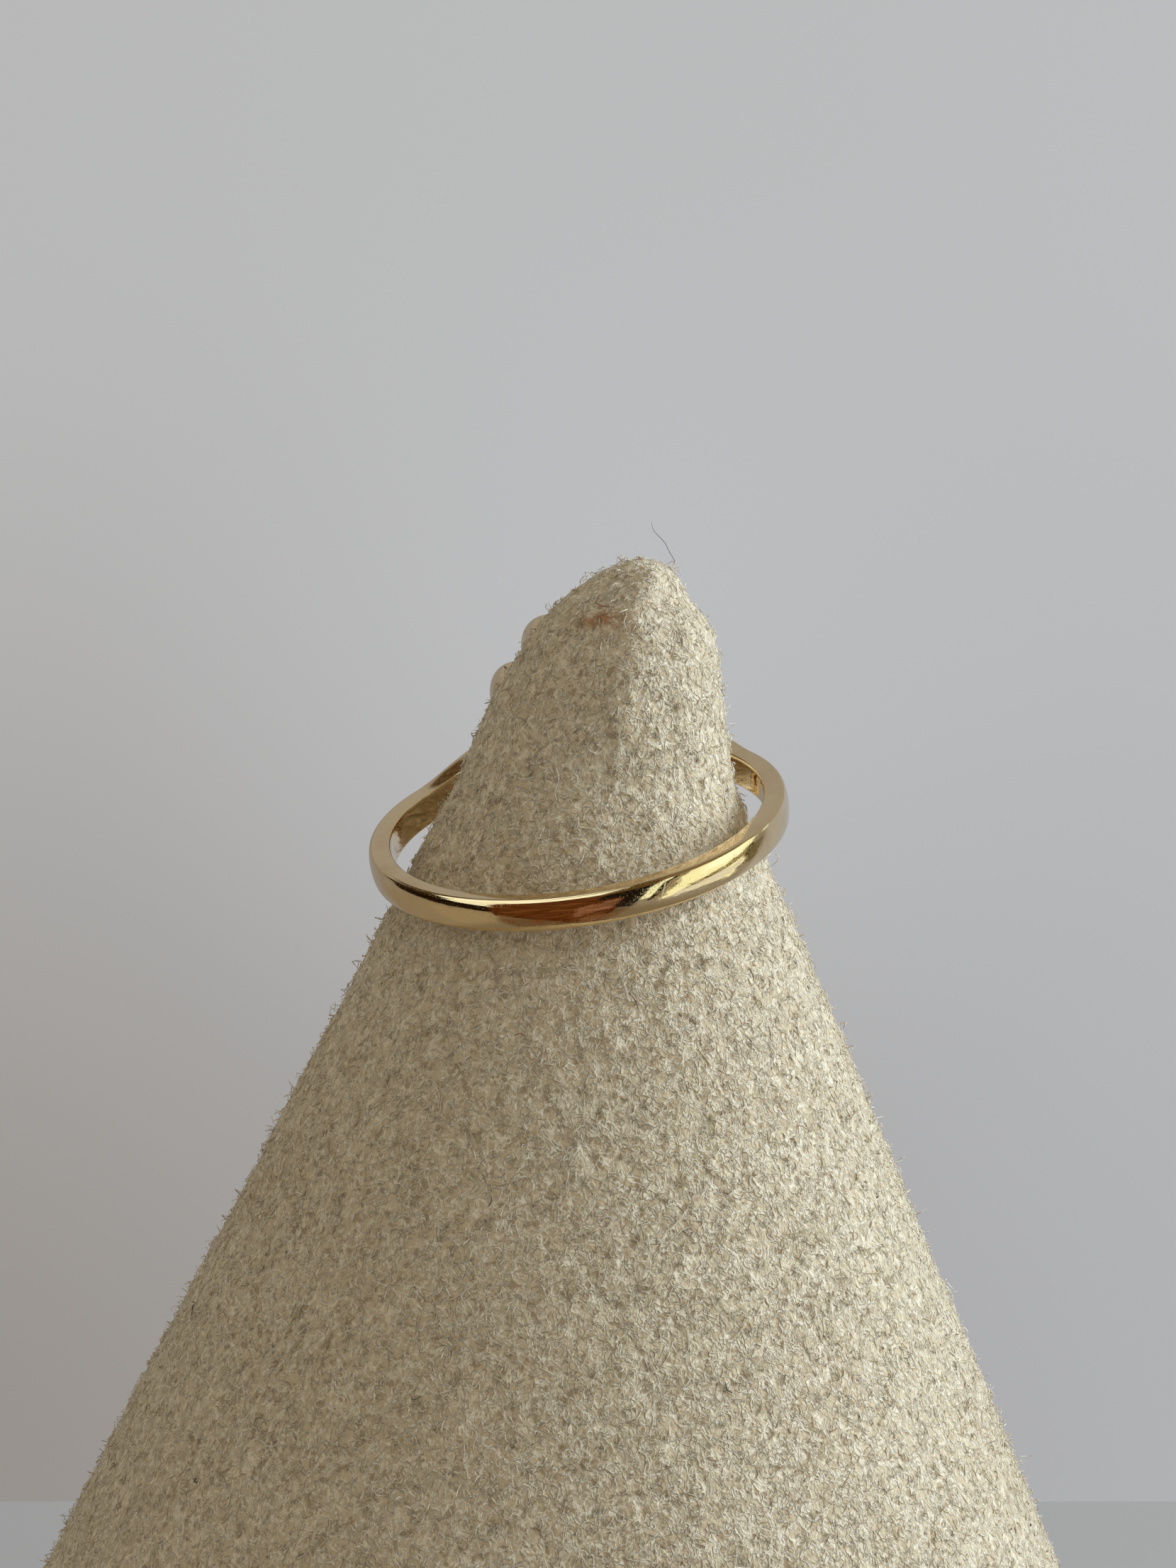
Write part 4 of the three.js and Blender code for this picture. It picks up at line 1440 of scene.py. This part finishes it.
# Each patch: bearings, elevations, slant, softness, tear, grain, colour. Bearings run from the camera's
# side towards +X, and elevations from the horizon up, both in degrees. Slant is how much a patch climbs for
# each degree of bearing, tear is how much its edges wander, and grain is how far level streaks break it up.
ROOM_PATCHES = {
    "table": ((-181, 181), (-95, -42), 0, 16, 0.2, 0, (0.21, 0.19, 0.15)),
    "ceiling": ((-181, 181), (27, 95), 0, 14, 0.2, 0, (0.36, 0.357, 0.35)),
    "left_wall": ((-142, -60), (-50, -12), 0, 10, 0.3, 0, (0.27, 0.24, 0.19)),
    "left_floor": ((-95, -52), (-48, -20), 0, 10, 0.3, 0, (0.31, 0.27, 0.20)),
    "low_brown": ((-56, 34), (-76, -40), 0, 10, 0.3, 0, (0.135, 0.10, 0.065)),
    "zenith": ((-181, 181), (80, 95), 0, 5, 0.1, 0, (0.09, 0.06, 0.03)),
    "dark_gap": ((-115, -50), (-17.5, 26), -0.28, 3, 0.2, 0, (0.012, 0.006, 0.002)),
    "dark_shelf": ((-126, -80), (20, 56), 0, 5, 0.2, 0, (0.03, 0.018, 0.006)),
    "dark_line": ((-166, -128), (42.5, 58), 0, 4, 0.1, 0, (0.08, 0.05, 0.02)),
    "wood_left": ((-53, -8), (-46, 60), -0.6, 3, 0.35, 0, (0.072, 0.022, 0.005)),
    "wood_right": ((-10, 24), (-63, 34), 0, 4, 0.35, 0, (0.072, 0.022, 0.005)),
    "wood_grain": ((-52, 20), (-62, 30), -0.15, 4, 0.4, 1, (0.16, 0.065, 0.026)),
    "pink_wood": ((-3, 21.5), (-41, -20.5), 0.5, 3, 0.7, 0.55, (0.31, 0.17, 0.12)),
    "pink_low": ((4, 34), (-63, -50), 0.2, 5, 0.6, 0.4, (0.20, 0.11, 0.07)),
    "high_brown": ((2, 37), (16, 95), 0, 5, 0.3, 0, (0.10, 0.066, 0.028)),
    "black_gap": ((20.5, 34.3), (-38, 17), -0.4, 3, 0.3, 0, (0.011, 0.008, 0.008)),
    "black_ledge": ((7, 24), (-15.5, 17), 0, 3, 0.3, 0, (0.011, 0.008, 0.007)),
    "lamp": ((-82, -1), (36, 77), 0.22, 4, 0.2, 0, (1.08, 1.2, 1.2)),
    "lamp_left": ((-146, -80), (50.5, 80), -0.36, 4, 0.1, 0, (1.08, 1.2, 1.2)),
    "lamp_low": ((-80, -51), (6, 60), -1.4, 5, 0.2, 0, (0.98, 1.08, 1.05)),
    "high_wall": ((34, 112), (43, 80), 0, 5, 0.3, 0, (0.20, 0.155, 0.085)),
    "window_side": ((34.3, 41.6), (-28, 40), 0, 2, 0.5, 0, (0.98, 1.15, 1.0)),
    "window_frame": ((41.6, 51), (-31, 40), 0, 2, 0.3, 0, (0.27, 0.235, 0.175)),
    "window_bar": ((40.6, 44.4), (-33, 40), 0, 1, 0.1, 0, (0.03, 0.022, 0.01)),
    "window": ((51, 101), (-29.5, 41), 0.23, 3, 0.7, 0, (1.06, 1.2, 0.96)),
    "window_light": ((66, 94), (-3, 36), 0.2, 6, 0.8, 0, (1.15, 1.4, 1.35)),
    "window_sill": ((58, 99), (-29, -17), 0.4, 4, 0.7, 0.3, (0.76, 0.80, 0.92)),
    "blind": ((64, 100), (-15, -7.5), 0.58, 3, 0.8, 0.25, (0.17, 0.12, 0.035)),
    "post": ((98, 105), (-9, 5), 0, 3, 0.4, 0, (0.09, 0.08, 0.03)),
    "post_foot": ((103, 113), (-17, 3), 0, 4, 0.4, 0, (0.15, 0.135, 0.08)),
    "far_window": ((110, 117), (14, 34), 0, 4, 0.3, 0, (0.85, 1.0, 1.05)),
    "right_wall": ((116, 178), (-30, 24), 0, 10, 0.3, 0, (0.42, 0.45, 0.50)),
}


def within(tree, value, low, high, softness):
    """A mask that is full between two values, with soft ends."""
    rises = ramp(tree, value, low - softness / 2, low + softness / 2)
    falls = ramp(tree, value, high - softness / 2, high + softness / 2, 1.0, 0.0)
    return times(tree, rises, falls)


print("the room has", len(ROOM_PATCHES), "patches")

# %% [markdown]
# Each kind of ray sees its own world. Mirror rays see the patches. Diffuse rays see only a soft warm grey,
# so the suede is lit evenly and quickly, and the camera sees plain pale grey. Real walls would do all three
# at once, but then no tone could be changed without the others.

# %% The world
WARP_DEGREES = 9.0
WARP_SCALE = 11.0
STREAK_STRETCH = (0.045, 0.4)


def room_world():
    world = bpy.data.worlds.new("studio_room")
    bpy.context.scene.world = world
    world.use_nodes = True
    tree = world.node_tree
    tree.nodes.clear()
    aim = tree.nodes.new("ShaderNodeTexCoord").outputs["Generated"]
    across, away, up = add_node(tree, "ShaderNodeSeparateXYZ", {0: aim}).outputs
    bearing = calculate(tree, "DEGREES", calculate(tree, "ARCTAN2", across, times(tree, away, -1.0)))
    elevation = calculate(tree, "DEGREES", calculate(tree, "ARCSINE", up))
    colour = painted_patches(tree, aim, bearing, elevation)
    soft = blend_colours(tree, ramp(tree, elevation, -20.0, 60.0), ROOM_SHADE, ROOM_OVERHEAD)
    ray = tree.nodes.new("ShaderNodeLightPath").outputs
    lit = blend_colours(tree, ray["Is Glossy Ray"], soft, colour)
    shown = blend_colours(tree, ray["Is Camera Ray"], lit, ROOM_SEEN)
    background = add_node(tree, "ShaderNodeBackground", {"Color": shown, "Strength": 1.0}).outputs[0]
    plug(tree, tree.nodes.new("ShaderNodeOutputWorld").inputs, {"Surface": background})
    return world


def level_streaks(tree, bearing, elevation):
    """Thin level streaks, such as the grain of planks or the slats of a blind."""
    place = add_node(tree, "ShaderNodeCombineXYZ", {
        "X": times(tree, bearing, STREAK_STRETCH[0]), "Y": times(tree, elevation, STREAK_STRETCH[1]),
    }).outputs[0]
    streaks = add_node(tree, "ShaderNodeTexNoise", {"Vector": place, "Scale": 1.0, "Detail": 3.0})
    return ramp(tree, streaks.outputs["Fac"], 0.46, 0.60)


def painted_patches(tree, aim, bearing, elevation):
    """The colour that a mirror ray meets. Later patches cover earlier ones."""
    rough = add_node(tree, "ShaderNodeTexNoise", {"Vector": aim, "Scale": WARP_SCALE, "Detail": 4.0})
    torn = add_node(tree, "ShaderNodeSeparateXYZ", {0: rough.outputs["Color"]}).outputs
    shifts = [times(tree, calculate(tree, "SUBTRACT", torn[k], 0.5), 2 * WARP_DEGREES) for k in (0, 1)]
    streaks = level_streaks(tree, bearing, elevation)
    colour = ROOM_MIRRORED
    for bearings, elevations, slant, softness, tear, grain, tint in ROOM_PATCHES.values():
        torn_bearing = calculate(tree, "ADD", bearing, times(tree, shifts[0], tear))
        torn_elevation = calculate(tree, "ADD", elevation, times(tree, shifts[1], tear))
        climb = times(tree, calculate(tree, "SUBTRACT", torn_bearing, sum(bearings) / 2), slant)
        level = calculate(tree, "SUBTRACT", torn_elevation, climb)
        share = times(
            tree, within(tree, torn_bearing, *bearings, softness), within(tree, level, *elevations, softness),
        )
        if grain:
            share = times(tree, share, calculate(tree, "ADD", 1.0 - grain, times(tree, streaks, grain)))
        colour = blend_colours(tree, share, colour, (*tint, 1.0))
    return colour


room = room_world()
print(room.name, "has", len(room.node_tree.nodes), "nodes")

# %% [markdown]
# The main light is a window to the right, which leaves the left of the cone in shade. A sun lamp would give
# the shade a hard edge, so it is a large area light. The gold doesn't mirror it, because the painted room
# already has its windows.

# %% Lights
LIGHT_TARGET = Vector((2.0, 0.0, 40.0))


def window_light(name, bearing, elevation, distance, size, power, tint):
    """An area light aimed at the ring. Bearing 0 is the camera's side and 90 is +X."""
    data = bpy.data.lights.new(name, "AREA")
    data.shape = "RECTANGLE"
    data.size, data.size_y = size[0] * MM, size[1] * MM
    data.energy = power
    data.color = tint
    lamp = bpy.data.objects.new(name, data)
    turn, lift = math.radians(bearing), math.radians(elevation)
    aim = Vector((math.sin(turn) * math.cos(lift), -math.cos(turn) * math.cos(lift), math.sin(lift)))
    lamp.location = (LIGHT_TARGET + aim * distance) * MM
    lamp.rotation_euler = aim.to_track_quat("Z", "Y").to_euler()
    lamp.visible_camera = False
    lamp.visible_glossy = False
    bpy.context.scene.collection.objects.link(lamp)


window_light(
    "window", bearing=94, elevation=24, distance=600, size=(460, 420), power=4.35, tint=(0.86, 0.99, 1.14),
)
print("lights ready")

# %% [markdown]
# The plain view transform keeps the colours as they were measured. A filmic one would grey the pale suede.

# %% View transform
bpy.context.scene.view_settings.view_transform = "Standard"
